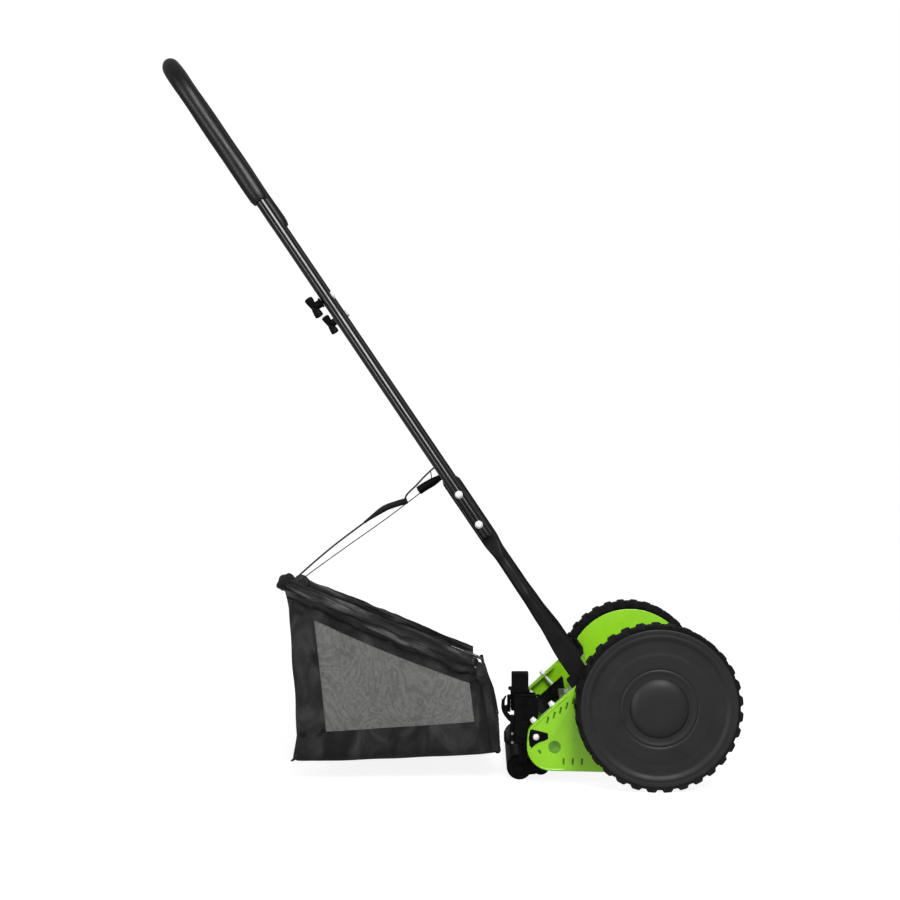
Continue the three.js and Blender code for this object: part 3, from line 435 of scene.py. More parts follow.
LIME_STOPS = ((0.3, (0.215, 0.53, 0.004)), (0.7, (0.27, 0.63, 0.006)))
PAINTED_SHADE_STOPS = ((0.3, (0.05, 0.15, 0.004)), (0.7, (0.12, 0.33, 0.012)))
RUBBER_STOPS = ((0.3, 0.004), (0.65, 0.007), (0.85, 0.014))
ZINC_STOPS = ((0.3, (0.80, 0.81, 0.82)), (0.75, (0.95, 0.95, 0.94)))
LIME = clouded(
    "lime_paint", "green_paint", (14, 2, *LIME_STOPS), (60, 0.26, 0.4), (900, 2, 0.05, 0.5), coat=0.5
)
# The same paint, darkened in the pressed marks and the dimple: painted shade in their hollows.
LIME_IN_PAINTED_SHADE = clouded(
    "lime_in_painted_shade", "green_paint", (180, 3, *PAINTED_SHADE_STOPS), (60, 0.45, 0.6), (900, 2, 0.05, 0.5), coat=0.1
)
BLACK = clouded(
    "black_paint", "black_paint", (30, 3, (0.3, 0.002), (0.75, 0.005)), (80, 0.16, 0.3),
    (700, 2, 0.03, 0.5), coat=0.35, specular=0.3,
)
LEG_BLACK = clouded(
    "satin_black_paint", "black_paint", (40, 3, (0.3, 0.006), (0.75, 0.010)), (90, 0.38, 0.52),
    (600, 2, 0.04, 0.6), specular=0.1,
)
PLASTIC = clouded(
    "moulded_black_plastic", "black_plastic", (70, 3, (0.3, 0.002), (0.8, 0.0045)), (120, 0.36, 0.52),
    (1500, 2, 0.05, 0.8), specular=0.06,
)
WHEEL = clouded(
    "wheel_plastic", "wheel_plastic", (26, 4, (0.3, 0.012), (0.75, 0.0165)), (50, 0.44, 0.56),
    (1300, 2, 0.05, 0.7), specular=0.3,
)
RUBBER = clouded(
    "tyre_rubber", "tyre", (90, 5, *RUBBER_STOPS), (70, 0.55, 0.8), (800, 4, 0.12, 0.8), specular=0.12
)
ZINC = clouded(
    "zinc", "zinc", (220, 3, *ZINC_STOPS), (150, 0.34, 0.48), (1200, 2, 0.03, 0.6), metallic=0.35
)
WIRE = clouded(
    "wire_paint", "black_paint", (50, 3, (0.3, 0.005), (0.8, 0.010)), (90, 0.2, 0.36), (900, 3, 0.03, 0.5),
    coat=0.4,
)


WEAVE_SCALE = 420


def foam():
    surface = Surface("foam", "foam", specular=0.3)
    cells = surface.node("ShaderNodeTexVoronoi")
    cells.inputs["Scale"].default_value = 650
    surface.link(surface.where, cells.inputs["Vector"])
    surface.paint(surface.grain(160, 4), [(0.3, 0.003), (0.75, 0.007)])
    surface.rough(surface.grain(60), 0.34, 0.44)
    surface.relief(cells.outputs["Distance"], 0.12, 0.5)
    return surface.material


def weave_height(surface):
    """The height of a weave's crossing threads."""
    warp = surface.bands(WEAVE_SCALE, "X", 0.4)
    weft = surface.bands(WEAVE_SCALE, "Z", 0.4)
    return surface.maths("MULTIPLY", warp, weft)


def with_weave(surface, value, weave):
    """A value with a little of the weave in it."""
    return surface.maths("ADD", value, surface.maths("MULTIPLY", weave, 0.1))


def solid_fabric():
    surface = Surface("bag_fabric", "fabric", specular=0.15)
    surface.shader.inputs["Sheen Weight"].default_value = 0.04
    surface.shader.inputs["Sheen Roughness"].default_value = 0.5
    weave = weave_height(surface)
    mottled = with_weave(surface, surface.grain(24, 5, (1, 1, 0.6), 1.4), weave)
    surface.paint(mottled, [(0.38, 0.006), (0.54, 0.014), (0.7, 0.034)])
    surface.rough(surface.grain(60), 0.55, 0.75)
    surface.relief(weave, 0.25, 0.7)
    return surface.material


def sleeve_fabric():
    """The same cloth on the side rails, with pale streaks along its folds: painted highlight."""
    surface = Surface("sleeve_fabric", "fabric", specular=0.15)
    highlight_streaks = surface.grain(95, 4, (0.12, 1, 1), 0.8, RAIL_LEAN)
    # The pale stops paint highlights along the folds.
    surface.paint(highlight_streaks, [(0.36, 0.003), (0.5, 0.013), (0.58, 0.036), (0.7, 0.1)])
    surface.rough(surface.grain(60), 0.5, 0.7)
    surface.relief(with_weave(surface, highlight_streaks, weave_height(surface)), 1.2, 0.6)
    return surface.material


def mesh_fabric():
    """A woven mesh that lets a little light through between its threads, with moire curls on it."""
    surface = Surface("mesh_fabric", "fabric")
    weave = weave_height(surface)
    slow = surface.grain(16, 3, (1, 1, 0.45), 0.6)
    slopes = surface.grain(17, 3, (1, 1, 0.7), 0.8)
    contours = surface.maths("SINE", surface.maths("MULTIPLY", slopes, 110), 0)
    curls = surface.maths("MULTIPLY", contours, 0.1)
    specks = surface.maths("MULTIPLY", surface.grain(240, 3), 0.5)
    clouds = surface.maths("MULTIPLY", slow, 0.5)
    mottled = surface.maths("ADD", clouds, surface.maths("ADD", curls, specks))
    surface.paint(mottled, [(0.3, (0.085, 0.085, 0.083)), (0.72, (0.165, 0.165, 0.16))])
    surface.rough(slow, 0.7, 0.85)
    surface.relief(weave, 0.3, 0.5)
    opening = surface.ranged(weave, (0.05, 0.6), (0.85, 1.0))
    surface.link(opening, surface.shader.inputs["Alpha"])
    return surface.material


def cord_fabric():
    surface = Surface("cord", "cord", roughness=0.7)
    twist = surface.bands(WEAVE_SCALE, "DIAGONAL", 0.0)
    surface.paint(twist, [(0.2, 0.005), (0.9, 0.014)])
    surface.relief(twist, 0.3, 0.7)
    return surface.material


def blade_steel():
    """Bright steel with the fine marks of grinding across it."""
    surface = Surface("blade_steel", "blade_steel", metallic=1.0)
    ground = surface.grain(160, 2, (1, 0.04, 1))
    surface.paint(ground, [(0.3, (0.40, 0.41, 0.42)), (0.75, (0.62, 0.63, 0.64))])
    surface.rough(ground, 0.25, 0.42)
    surface.relief(ground, 0.04, 0.6)
    return surface.material


FOAM = foam()
FABRIC = solid_fabric()
SLEEVE = sleeve_fabric()
MESH = mesh_fabric()
CORD = cord_fabric()
STEEL = blade_steel()


# Pieces -------------------------------------------------------------------------------------
CREASE = 32  # degrees


def shade(data, degrees):
    """Shades a mesh smoothly, with a crease where two faces meet at a steep angle."""
    limit = math.radians(degrees)
    work = bmesh.new()
    work.from_mesh(data)
    bmesh.ops.recalc_face_normals(work, faces=work.faces)
    for edge in work.edges:
        edge.smooth = len(edge.link_faces) != 2 or edge.calc_face_angle(0) < limit
    for face in work.faces:
        face.smooth = True
    work.to_mesh(data)
    work.free()


def show(name, data):
    made = bpy.data.objects.new(name, data)
    bpy.context.scene.collection.objects.link(made)
    return made


def make(name, part, material, crease=CREASE):
    """An object in the row frame from a part in millimetres."""
    data = bpy.data.meshes.new(name)
    data.from_pydata([place(vertex) for vertex in part[0]], [], part[1])
    shade(data, crease)
    data.materials.append(material)
    return show(name, data)


def carve(target, cutter_part, inside=0):
    """Cuts a part out of an object. The new faces take the target's material of index inside."""
    cutter = make("cutter", cutter_part, LIME)
    # The second material is the darker lime, painted shade, for cut faces of index 1.
    cutter.data.materials.append(LIME_IN_PAINTED_SHADE)
    for face in cutter.data.polygons:
        face.material_index = inside
    modifier = target.modifiers.new("cut", "BOOLEAN")
    modifier.object = cutter
    modifier.operation = "DIFFERENCE"
    modifier.solver = "EXACT"
    bpy.context.view_layer.update()
    evaluated = target.evaluated_get(bpy.context.evaluated_depsgraph_get())
    target.data = bpy.data.meshes.new_from_object(evaluated)
    target.modifiers.clear()
    bpy.data.objects.remove(cutter)
    shade(target.data, CREASE)


def dress(piece, body, *nodes):
    """Hangs a piece on its CAD body in place of CAD nodes."""
    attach(piece, body)
    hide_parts(*nodes)
    return piece


def add(name, part, material, crease, body, *nodes):
    """Makes a piece, creased from an angle in degrees, in place of CAD nodes of a body."""
    return dress(make(name, part, material, crease), body, *nodes)


def add_pair(name, part, material, crease, body, node):
    """Adds a right piece and its mirror image. A * in a name stands for the side."""
    for side in SIDES:
        names = [text.replace("*", side) for text in (name, body, node)]
        add(names[0], on_side(part, side), material, crease, *names[1:])


def keep_node(node, material, edge):
    """Shows a CAD node itself, with its sharp edges rounded by modifiers."""
    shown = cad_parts[node]
    shown.data.materials.clear()
    shown.data.materials.append(material)
    weld = shown.modifiers.new("weld", "WELD")
    weld.merge_threshold = 0.00002
    rounding = shown.modifiers.new("rounding", "BEVEL")
    rounding.width = edge * MM
    rounding.segments = 2
    rounding.limit_method = "ANGLE"
    rounding.angle_limit = math.radians(40)
    rounding.harden_normals = False
    for face in shown.data.polygons:
        face.use_smooth = False


# Wheels -------------------------------------------------------------------------------------
LUG_PITCH = math.tau / LUG_COUNT
TYRE_MIDDLE_Y = (TYRE_INNER_Y + TYRE_OUTER_Y) / 2
TYRE_HALF_WIDTH = (TYRE_OUTER_Y - TYRE_INNER_Y) / 2
TYRE_BASE_RADIUS = 106.2
TYRE_SHOULDER = 1.6
TYRE_CROWN = 0.6
SIDEWALL_RADIUS = 104  # the wheel cover reaches this far out over the tyre's side
SIDES_OF_TURNED = 128


def lug_height(angle, y):
    """How far the tread stands up at a place: two rows of blocks, half a pitch apart."""
    phase = 0 if y < TYRE_MIDDLE_Y else 0.5
    pitches = (angle + math.pi / 2) / LUG_PITCH + phase
    from_lug = abs(pitches - round(pitches))
    block_share = 1 - smooth_step(from_lug, 0.24, 0.36)
    row_share = smooth_step(abs(y - TYRE_MIDDLE_Y), 0.0, 1.2)
    return block_share * row_share


def tyre_outline(angle):
    """The tyre's section at an angle, as (radius, y) points."""
    inner_lug = lug_height(angle, TYRE_INNER_Y + 2)
    outer_lug = lug_height(angle, TYRE_OUTER_Y - 2)
    lug_rise = WHEEL_RADIUS - TYRE_BASE_RADIUS - 2 * TYRE_CROWN
    outline = [
        (RIM_RADIUS + 0.4, TYRE_INNER_Y + 3),
        (100, TYRE_INNER_Y + 0.8),
        (103.5, TYRE_INNER_Y + 0.6 - 0.6 * inner_lug),
        (TYRE_BASE_RADIUS + lug_rise * inner_lug, TYRE_INNER_Y + 0.6 - 0.6 * inner_lug),
    ]
    steps = 26
    for step in range(steps + 1):
        across = (TYRE_HALF_WIDTH - TYRE_SHOULDER) * (2 * step / steps - 1)
        y = TYRE_MIDDLE_Y + across
        crown = TYRE_CROWN * (across / TYRE_HALF_WIDTH) ** 2
        rise = (WHEEL_RADIUS - TYRE_BASE_RADIUS + crown) * lug_height(angle, y)
        outline.append((TYRE_BASE_RADIUS - crown + rise, y))
    outline += [
        (TYRE_BASE_RADIUS + lug_rise * outer_lug, TYRE_OUTER_Y - 0.6 + 0.6 * outer_lug),
        (SIDEWALL_RADIUS + 0.1, TYRE_OUTER_Y - 1.4),
        (SIDEWALL_RADIUS + 0.1, TYRE_INNER_Y + 7),
        (RIM_RADIUS + 0.4, TYRE_INNER_Y + 7),
    ]
    return outline


def tyre_part():
    """The tyre, with a section of its own at each angle."""
    rings = []
    for angle in around(LUG_COUNT * 14):
        places = [(*polar(radius, angle, 0, WHEEL_RADIUS), y) for radius, y in tyre_outline(angle)]
        rings.append([(x, -y, z) for x, z, y in places])
    return lofted(rings, closed=True)


def wheel_disc_part():
    """The moulded cover: soft rings on its face, and ribs and a hub tube behind it."""
    face = [
        (34.5, 201.6), (42, 201.7), (45.5, 202.2), (48, 203), (49.6, 202.9), (51, 202.2), (52.6, 203),
        (55, 203.4), (62, 203.5), (69, 203.4), (72, 203), (75, 202.7), (86, 202.7), (89, 203.2),
        (91.5, 204.6), (93.8, 205.5), (95.6, 205.6), (97, 205.3), (98.4, 205.6), (101, 205.9),
        (103, 205.7), (SIDEWALL_RADIUS, 205),
    ]
    back = [
        (SIDEWALL_RADIUS, 171), (RIM_RADIUS, 171), (RIM_RADIUS, 166), (92, 166), (92, 198), (86, 198),
        (85.5, 166), (82.5, 166), (82.5, 198), (40, 198), (16, 188), (16, 166), (6.3, 166), (6.3, 193),
        (34, 193),
    ]
    path = smooth_path([(radius, y, 0) for radius, y in face], 4)
    profile = [(point.x, point.y) for point in path] + back
    return turned([(radius, -y) for radius, y in profile], 0, WHEEL_RADIUS, SIDES_OF_TURNED, closed=True)


def ring_gear_part():
    """The inner gear that drives the reel's pinion."""
    tooth = [(81.4, -2.1), (75.4, -1.0), (75.4, 1.0), (81.4, 2.1)]  # radius, degrees from its middle
    back_radius = 82.9
    start_y, end_y = -165.6, -179
    teeth, back = [], []
    for index in range(RING_TEETH):
        middle = REEL_DIRECTION + math.tau * (index + 0.5) / RING_TEETH
        for radius, degrees in tooth:
            angle = middle + math.radians(degrees)
            teeth.append(polar(radius, angle, 0, WHEEL_RADIUS))
            back.append(polar(back_radius, angle, 0, WHEEL_RADIUS))
    corners = [(teeth, start_y), (teeth, end_y), (back, end_y), (back, start_y)]
    return lofted([upright(outline, y) for outline, y in corners], closed=True)


def hub_cap_part():
    """The domed cap over the axle's end."""
    profile = [
        (33.6, 199), (39, 201.5), (39, 202), (37.5, 203.5), (35, 205.2), (31, 206.9), (26, 208.2),
        (18, 208.85), (8, 209), (0.5, 209),
    ]
    return turned([(radius, -y) for radius, y in profile], 0, WHEEL_RADIUS, SIDES_OF_TURNED)


add_pair("tyre_tread_*", tyre_part(), RUBBER, 24, "wheel_*", "tyre_*")
cover = merge(wheel_disc_part(), ring_gear_part())
add_pair("wheel_cover_*", cover, WHEEL, 30, "wheel_*", "wheel_disc_*")
add_pair("hub_dome_*", hub_cap_part(), WHEEL, 50, "wheel_*", "hub_cap_*")


# Side plates --------------------------------------------------------------------------------
TAIL = [(-171, 75.5, 16), (-175.6, 19.2, 33)]
TAIL_TOP = (-88, 149.7)
TAIL_FOOT = (-30, 19.2)
KEY_CORNERS = [
    (-169, 76, 1), (-171.3, 63, 4), (-168, 49, 1), (-158, 57, 3), (-144, 62, 2), (-144.5, 70, 2),
    (-158, 73.5, 3),
]
KEY_OPENING = rounded(KEY_CORNERS, 4)
RIM_WALL = 2.2
LIP_RADIUS = 1.6
TICK_DEPTH = 2.0
TICK_WIDTH = 2.6
DIMPLE = {"x": -135.5, "z": 51.5, "radius": 8.5, "depth": 1.2}


def disc_arc(start, end, radius, steps):
    """Points on the wheel's circle, running clockwise from one place to another."""
    first = math.atan2(start[1] - WHEEL_RADIUS, start[0])
    last = math.atan2(end[1] - WHEEL_RADIUS, end[0])
    if last > first:
        last -= math.tau
    angles = [first + (last - first) * step / steps for step in range(steps + 1)]
    return [polar(radius, angle, 0, WHEEL_RADIUS) for angle in angles]


def plate_outline():
    """The side plate: a disc behind the wheel with a tail to the rear."""
    arc = disc_arc(TAIL_TOP, TAIL_FOOT, PLATE_DISC_RADIUS, 90)
    tail = rounded([(*TAIL_TOP, 0), *TAIL, (*TAIL_FOOT, 0)], 8)[1:-1]
    return arc + list(reversed(tail))


def tail_rim_path():
    """The middle line of the turned-in rim, from the handle leg round to the foot of the tail."""
    line = [Vector((x, 0, z)) for x, z in rounded([(*TAIL_TOP, 0), *TAIL, (*TAIL_FOOT, 0)], 10)]
    front_end = -116
    return [point for point in finely(line, 6) if point.x < front_end]


def along_rim(section):
    """A bar along the tail's edge, from a closed section of (y, depth inside the edge) points."""
    middle_of_tail = Vector((-120, 0, 80))
    rings = []
    for point, _, up in path_frames(tail_rim_path(), (0, 1, 0)):
        inward = up if up.dot(middle_of_tail - point) > 0 else -up
        rings.append([(point.x + inward.x * depth, -y, point.z + inward.z * depth) for y, depth in section])
    return lofted(rings)


def rim_part():
    """The tail's rim: a flange turned inwards, and the rounded lip that stands out at its root."""
    root = PLATE_INNER_Y + 0.4
    flange = [(FLANGE_EDGE_Y, 0.2), (root, 0.2), (root, RIM_WALL), (FLANGE_EDGE_Y, RIM_WALL)]
    lip_y, lip_depth = PLATE_OUTER_Y - 0.7, 1.7
    lip = [polar(LIP_RADIUS, angle, lip_y, lip_depth) for angle in around(12)]
    return merge(along_rim(flange), along_rim(lip))


def dash(x, z, degrees, length, width=TICK_WIDTH):
    """A small groove in the outer face."""
    angle = math.radians(degrees)
    along = Vector((math.cos(angle), math.sin(angle))) * length / 2
    across = Vector((-math.sin(angle), math.cos(angle))) * width / 2
    ends = [Vector((x, z)) - along, Vector((x, z)) + along]
    corners = [ends[0] - across, ends[1] - across, ends[1] + across, ends[0] + across]
    points = rounded([(*corner, width * 0.45) for corner in corners], 3)
    return plate(points, -(PLATE_OUTER_Y - TICK_DEPTH), -(PLATE_OUTER_Y + 2), 0.2)


def tick_marks():
    """Two short scales of pressed marks: one under the tail's upper edge and one by its foot."""
    upper = [dash(-144.8 + 8.6 * index, 87.8 + 6.4 * index, 76, 9.5) for index in range(5)]
    lower = [dash(-123.5 + 12.4 * index, 32, 88, 9) for index in range(3)]
    return [dash(-155.5, 45, -60, 6, 3), *upper, *lower]


def dimple():
    """A shallow pressed bowl, cut by a ball."""
    radius, depth = DIMPLE["radius"], DIMPLE["depth"]
    ball = (radius * radius + depth * depth) / (2 * depth)
    mouth = radius * 1.25
    profile = [(mouth, -(PLATE_OUTER_Y + 6))]
    for step in range(9):
        across = mouth * (1 - step / 8) + 0.05
        bottom = PLATE_OUTER_Y - depth + ball - math.sqrt(ball * ball - across * across)
        profile.append((across, -bottom))
    return turned(profile, DIMPLE["x"], DIMPLE["z"], 48)


def side_plate_holes():
    """Cutters for the axle, the reel's bearing, two bolts and the height housing's key."""
    through = (-(PLATE_INNER_Y - 3), -(PLATE_OUTER_Y + 3))
    bolt_hole = 4.3
    round_holes = [
        (0, WHEEL_RADIUS, 6.3, 32),
        (REEL_X, REEL_Z, 11.3, 32),
        (PIVOT.x, PIVOT.z, bolt_hole, 24),
        (*TIE_ROD, bolt_hole, 24),
    ]
    holes = [cross_bar(x, z, *through, radius, sides, 0) for x, z, radius, sides in round_holes]
    return [*holes, plate(KEY_OPENING, *through, 0.01)]


for side in SIDES:
    part = plate(plate_outline(), -PLATE_INNER_Y, -PLATE_OUTER_Y, 0.9)
    shown = make(f"plate_{side}", on_side(part, side), LIME)
    # Its second material is the darker lime: painted shade for the pressed marks and the dimple.
    shown.data.materials.append(LIME_IN_PAINTED_SHADE)
    for cutter in side_plate_holes():
        carve(shown, on_side(cutter, side))
    # Index 1 gives the cut faces of the marks and the dimple the painted shade.
    for cutter in tick_marks() + [dimple()]:
        carve(shown, on_side(cutter, side), 1)
    dress(shown, "chassis", f"side_plate_{side}")
add_pair("plate_rim_*", rim_part(), LIME, 40, "chassis", "side_plate_*")


# Height housings, hooks and roller ----------------------------------------------------------
HOUSING = {"rear": -189, "front": -157, "bottom": 52, "inner": 127, "outer": 143.6}
HOUSING_TOP = {"right": 120, "left": 84}
CAP_HEIGHT = {"right": 29, "left": 4}
BRACKET = {"inner": -127, "outer": -133}
SEAT_TOP = {"right": 90, "left": 76}
CRESCENT = {"x": -184, "z": 104.2, "radius": 20.5}
CLAMP = (-160.4, 65.2)


def housing_part(side):
    """A box for the roller bracket, with a neck and a key plate that fill the tail's opening."""
    rear, front = HOUSING["rear"], HOUSING["front"]
    bottom, top = HOUSING["bottom"], HOUSING_TOP[side]
    inner, outer = -HOUSING["inner"], -HOUSING["outer"]
    corners = [(rear, top, 1.5), (rear, bottom, 3), (front - 6, bottom, 4), (front, bottom + 10, 4)]
    corners += [(front, top - 8, 6), (front - 4, top, 1.5)]
    flange = [(-171.6, 70, 3), (-170, 51, 2), (-142, 57, 3), (-142, 74, 3)]
    parts = [
        plate(rounded(corners, 5), inner, outer, 1.2),
        block(rear - 0.8, front - 3, inner + 0.6, outer - 1.4, top - 3.2, top, 1, 0.9),
        cross_bar(-178, 72, outer + 1, outer - 3, 12, 40, 1.2),
        block(-168.6, -160, -141, -154, 54, 69, 1, 0.6),
        plate(rounded(flange, 4), -153.7, -157.7, 0.5),
        plate(offset(KEY_OPENING, 0.5), -157, -161.9, 0.8),
    ]
    if side == "right":
        parts.append(block(-176.2, -173.8, outer + 1, outer - 2.2, 84, top - 4, 0.8, 0.7))
    return merge(*parts)


def bracket_part(side):
    """The roller's bearing lobe on a web, and a riser that ends in a cap above the housing."""
    x, z = ROLLER
    seat = HOUSING_TOP[side] + 0.4
    top = seat - 0.1 + CAP_HEIGHT[side]
    inner, outer = BRACKET["inner"], BRACKET["outer"]
    lobe = [
        (5.4, inner), (13.2, inner), (14, inner - 0.8), (14, outer + 0.8), (13.2, outer),
        (10.4, outer), (9.8, outer + 1.2), (7.6, outer + 1.2), (7.2, outer), (5.4, outer),
    ]
    web = [(x + 9, 8), (x + 4, 31), (-153, 31.6), (-160, 9)]
    parts = [
        turned(lobe, x, z, 64, closed=True),
        cross_bar(-153, 20, inner, outer, 12, 48, 1),
        plate(web, inner - 0.3, outer + 0.3, 0.6),
        block(-184, -172, -131, -140, z + 9, seat + 2, 0.8, 0.5),
        block(-193, -170, -127, -143.6, seat, top, 1.6, 1.2),
    ]
    if side == "right":
        for low in (seat + 3.6, seat + 6.8):
            parts.append(block(-193.4, -169.6, -127.8, -144, low, low + 1.4, 0.5, 0.4))
    return merge(*parts)


def hook_part(side):
    """The seat that the catcher's cross wire drops into. The right one has a crescent above it."""
    play = WIRE_RADIUS + 0.3
    rear, front = HOOK_LINE[0] - play, HOOK_LINE[0] + play
    root = HOUSING["rear"] - 0.3
    top, floor = SEAT_TOP[side], HOOK_LINE[1] - play
    outline = [
        (root, top, 0), (front, top, 1.5), (front, floor, 2), (rear, floor, 2), (rear, floor + 9, 0.8),
        (rear - 3, floor + 9, 0.8), (rear - 3, 55, 3), (HOOK_LINE[0], 50, 3), (root, 50, 0),
    ]
    seat = plate(rounded(outline, 5), -129, -141, 0.8)
    if side == "left":
        return seat
    middle_y = -135
    path = [(-190.5, middle_y, 83), (-195, middle_y, 85.5)]
    for step in range(21):
        angle = math.pi * (1.25 - 0.46 * step / 20)
        x, z = polar(CRESCENT["radius"], angle, CRESCENT["x"], CRESCENT["z"])
        path.append((x, middle_y, z))

    def thickness(share, _):
        return 3.5 * (1 - share) ** 0.5 + 0.5

    return merge(seat, swept(smooth_path(path, 3), thickness, 16, (0, 1, 0), 0.9))


def seat_bolts_part():
    """Two domed hexagon heads on the side of the hook's seat."""
    y, radius, height = -140.8, 2.3, 1.8
    heads = []
    for x, z in [(-192, 66), (-192, 54)]:
        heads.append(cross_bar(x, z, y, y - height * 0.7, radius, 6, 0.3))
        dome = [(radius * 0.8, y - height * 0.6), (radius * 0.6, y - height * 0.9), (0.3, y - height)]
        heads.append(turned(dome, x, z, 24))
    return merge(*heads)


def clamp_bolt_part():
    """The clamp bolt's shank, and its domed head on the key plate."""
    shank = [(3, -155), (3, -161.6)]
    head = [(4.3, -161.7), (4.3, -163.2), (3.6, -164.8), (2.2, -165.6), (0.3, -165.8)]
    return turned(shank + head, *CLAMP, 40)


def roller_part():
    """A drum with shallow grooves between its bands, on two journals."""
    journal, journal_end = 5, 134
    bands, groove = 9, 0.8
    half, radius = ROLLER_HALF_LENGTH, ROLLER_RADIUS
    pitch = 2 * (half - groove) / bands
    profile = [(journal, -journal_end), (journal, -half), (radius - 1, -half)]
    for band in range(bands):
        start = groove - half + band * pitch
        end = start + pitch
        profile += [(radius, start + groove), (radius, end - groove), (radius - groove, end)]
    profile += [(journal, half), (journal, journal_end)]
    return turned(profile, *ROLLER, 64)


for side in SIDES:
    mouldings = [
        ("housing", housing_part(side), 34, "chassis", "height_housing"),
        ("bracket", bracket_part(side), 34, "carriage", "roller_bracket"),
        ("hook", hook_part(side), 40, "chassis", "catcher_hook"),
    ]
    for name, part, crease, body, node in mouldings:
        add(f"{name}_{side}", on_side(part, side), PLASTIC, crease, body, f"{node}_{side}")
add_pair("seat_bolts_*", seat_bolts_part(), STEEL, 32, "chassis", "catcher_hook_*")
add_pair("clamp_head_*", clamp_bolt_part(), ZINC, 40, "chassis", "clamp_bolt_*")
add("roller_drum", roller_part(), PLASTIC, 30, "roller", "roller")


# Reel and bed knife -------------------------------------------------------------------------
BLADE = {"inner": 41, "bevel": 54, "thickness": 2.4}


def blade_part(index):
    """One helical blade with a ground bevel at its cutting edge."""
    half = BLADE["thickness"] / 2
    section = [
        (BLADE["inner"], -half), (BLADE["inner"] + 0.4, -half), (BLADE["bevel"], -half),
        (REEL_RADIUS - 0.2, -half + 0.9), (REEL_RADIUS, -half + 1.2), (REEL_RADIUS - 0.1, half),
        (BLADE["bevel"], half), (BLADE["inner"], half),
    ]
    rings = []
    steps = 72
    for step in range(steps + 1):
        share = step / steps
        y = REEL_HALF_LENGTH * (2 * share - 1)
        turn = math.tau / REEL_BLADES * (0.5 - share - index)
        out = Vector((math.cos(turn), 0, math.sin(turn)))
        across = Vector((-math.sin(turn), 0, math.cos(turn)))
        axis = Vector((REEL_X, y, REEL_Z))
        rings.append([axis + out * radius + across * side_step for radius, side_step in section])
    return lofted(rings)


for index in range(REEL_BLADES):
    add(f"blade_{index + 1}", blade_part(index), STEEL, 30, "reel", f"reel_blade_{index + 1}")

for node in ("reel_shaft", "reel_spider_right", "reel_spider_middle", "reel_spider_left"):
    keep_node(node, STEEL, 0.4)
for node in ("pinion_right", "pinion_left"):
    keep_node(node, STEEL, 0.25)
for node in ("pawl_right", "pawl_left", "tie_rod"):
    keep_node(node, ZINC, 0.3)
keep_node("bed_knife", STEEL, 0.3)
keep_node("bed_knife_carrier", BLACK, 0.5)
for side in SIDES:
    for node in ("stub_axle", "handle_pivot_bolt", "adjusting_screw_front", "adjusting_screw_rear"):
        keep_node(f"{node}_{side}", ZINC, 0.3)
    keep_node(f"reel_bearing_{side}", STEEL, 0.4)
    keep_node(f"handle_stop_{side}", LEG_BLACK, 0.4)


# Handle -------------------------------------------------------------------------------------
def on_handle(front, y, along):
    """A place a distance up the handle from its pivot, and in front of its middle plane."""
    point = PIVOT + HANDLE_UP * along + HANDLE_FRONT * front
    return Vector((point.x, y, point.z))


def leg_y(along):
    """How far out a leg's tube stands at a height. The legs draw in towards the grip."""
    return LEG_HALF_WIDTH - SPLAY * along


def flat_ring(along, y, half_width, half_thickness, squareness):
    """A rounded section across the handle. Squareness runs from 2, an ellipse, to 8."""

    def softened(value, reach):
        return math.copysign(abs(value) ** (2 / squareness), value) * reach

    ring = []
    for angle in around(40):
        front = softened(math.cos(angle), half_width)
        out = softened(math.sin(angle), half_thickness)
        ring.append(on_handle(front, y + out, along))
    return ring


def blend_between(table, along):
    """Values from a table of (along, values) rows, with smooth steps between the rows."""
    for (start, first), (end, second) in zip(table, table[1:]):
        if along <= end:
            share = smooth_step(along, start, end)
            return [a + (b - a) * share for a, b in zip(first, second)]
    return table[-1][1]


def lower_leg_part():
    """A tube pressed flat at both ends: a wide paddle at the pivot and a lap at the joint."""
    tube_in = leg_y(236) - LEG_OFFSET
    table = [  # along the leg: the place in Y, half the width, half the thickness, squareness
        (-13.5, (153, 5, 1.6, 2.2)),
        (-9, (153, 10.5, 1.9, 2.6)),
        (-1, (153, 12.8, 2, 4)),
        (56, (153, 13, 2, 5)),
        (112, (150.2, 9.2, 6.6, 2.2)),
        (150, (147, 8, 8, 2)),
        (212, (tube_in + 2.2, 8, 8, 2)),
        (240, (tube_in + 0.3, 10.6, 3.2, 4)),
        (338, (leg_y(338) - LEG_OFFSET, 11, 2.5, 5)),
        (345, (leg_y(345) - LEG_OFFSET, 8.5, 2.2, 3)),
    ]
    rings = []
    along = table[0][0]
    while along <= table[-1][0]:
        y, *section = blend_between(table, along)
        rings.append(flat_ring(along, -y, *section))
        along += 2.5
    rings.append(flat_ring(346, -(leg_y(346) - LEG_OFFSET), 6, 1.4, 2.4))
    return lofted(rings)


MIDDLE_TUBE = {"start": 248, "end": 648}
HANDLE_BEND = 75


def middle_tube_part():
    """One straight tube of the middle frame, from the leg joint to its seam under the upper tube."""
    start, end = MIDDLE_TUBE["start"], MIDDLE_TUBE["end"]
    heights = range(start, end + 1, 8)
    path = [on_handle(0, -max(leg_y(along), HANDLE_HALF_WIDTH), along) for along in heights]
    tube = swept(path, TUBE_RADIUS, 36, edge=0.6)
    mouth = [on_handle(0, -leg_y(start), start + 1 - depth) for depth in (0, 2.5)]
    plug = bar(*mouth, TUBE_RADIUS - 1.4, 28, 0.8)
    return merge(tube, plug)


def brace_part():
    """The rod between the two legs, with its welds."""
    reach = leg_y(BRACE_HEIGHT) - TUBE_RADIUS + 1
    point = on_handle(0, 0, BRACE_HEIGHT)
    rod = cross_bar(point.x, point.z, -reach, reach, 5, 32, 0.2)
    welds = []
    for side in (-1, 1):
        profile = [(5, side * (reach - 5)), (6.4, side * (reach - 3)), (7.4, side * (reach - 0.5))]
        welds.append(turned(profile, point.x, point.z, 32))
    return merge(rod, *welds)


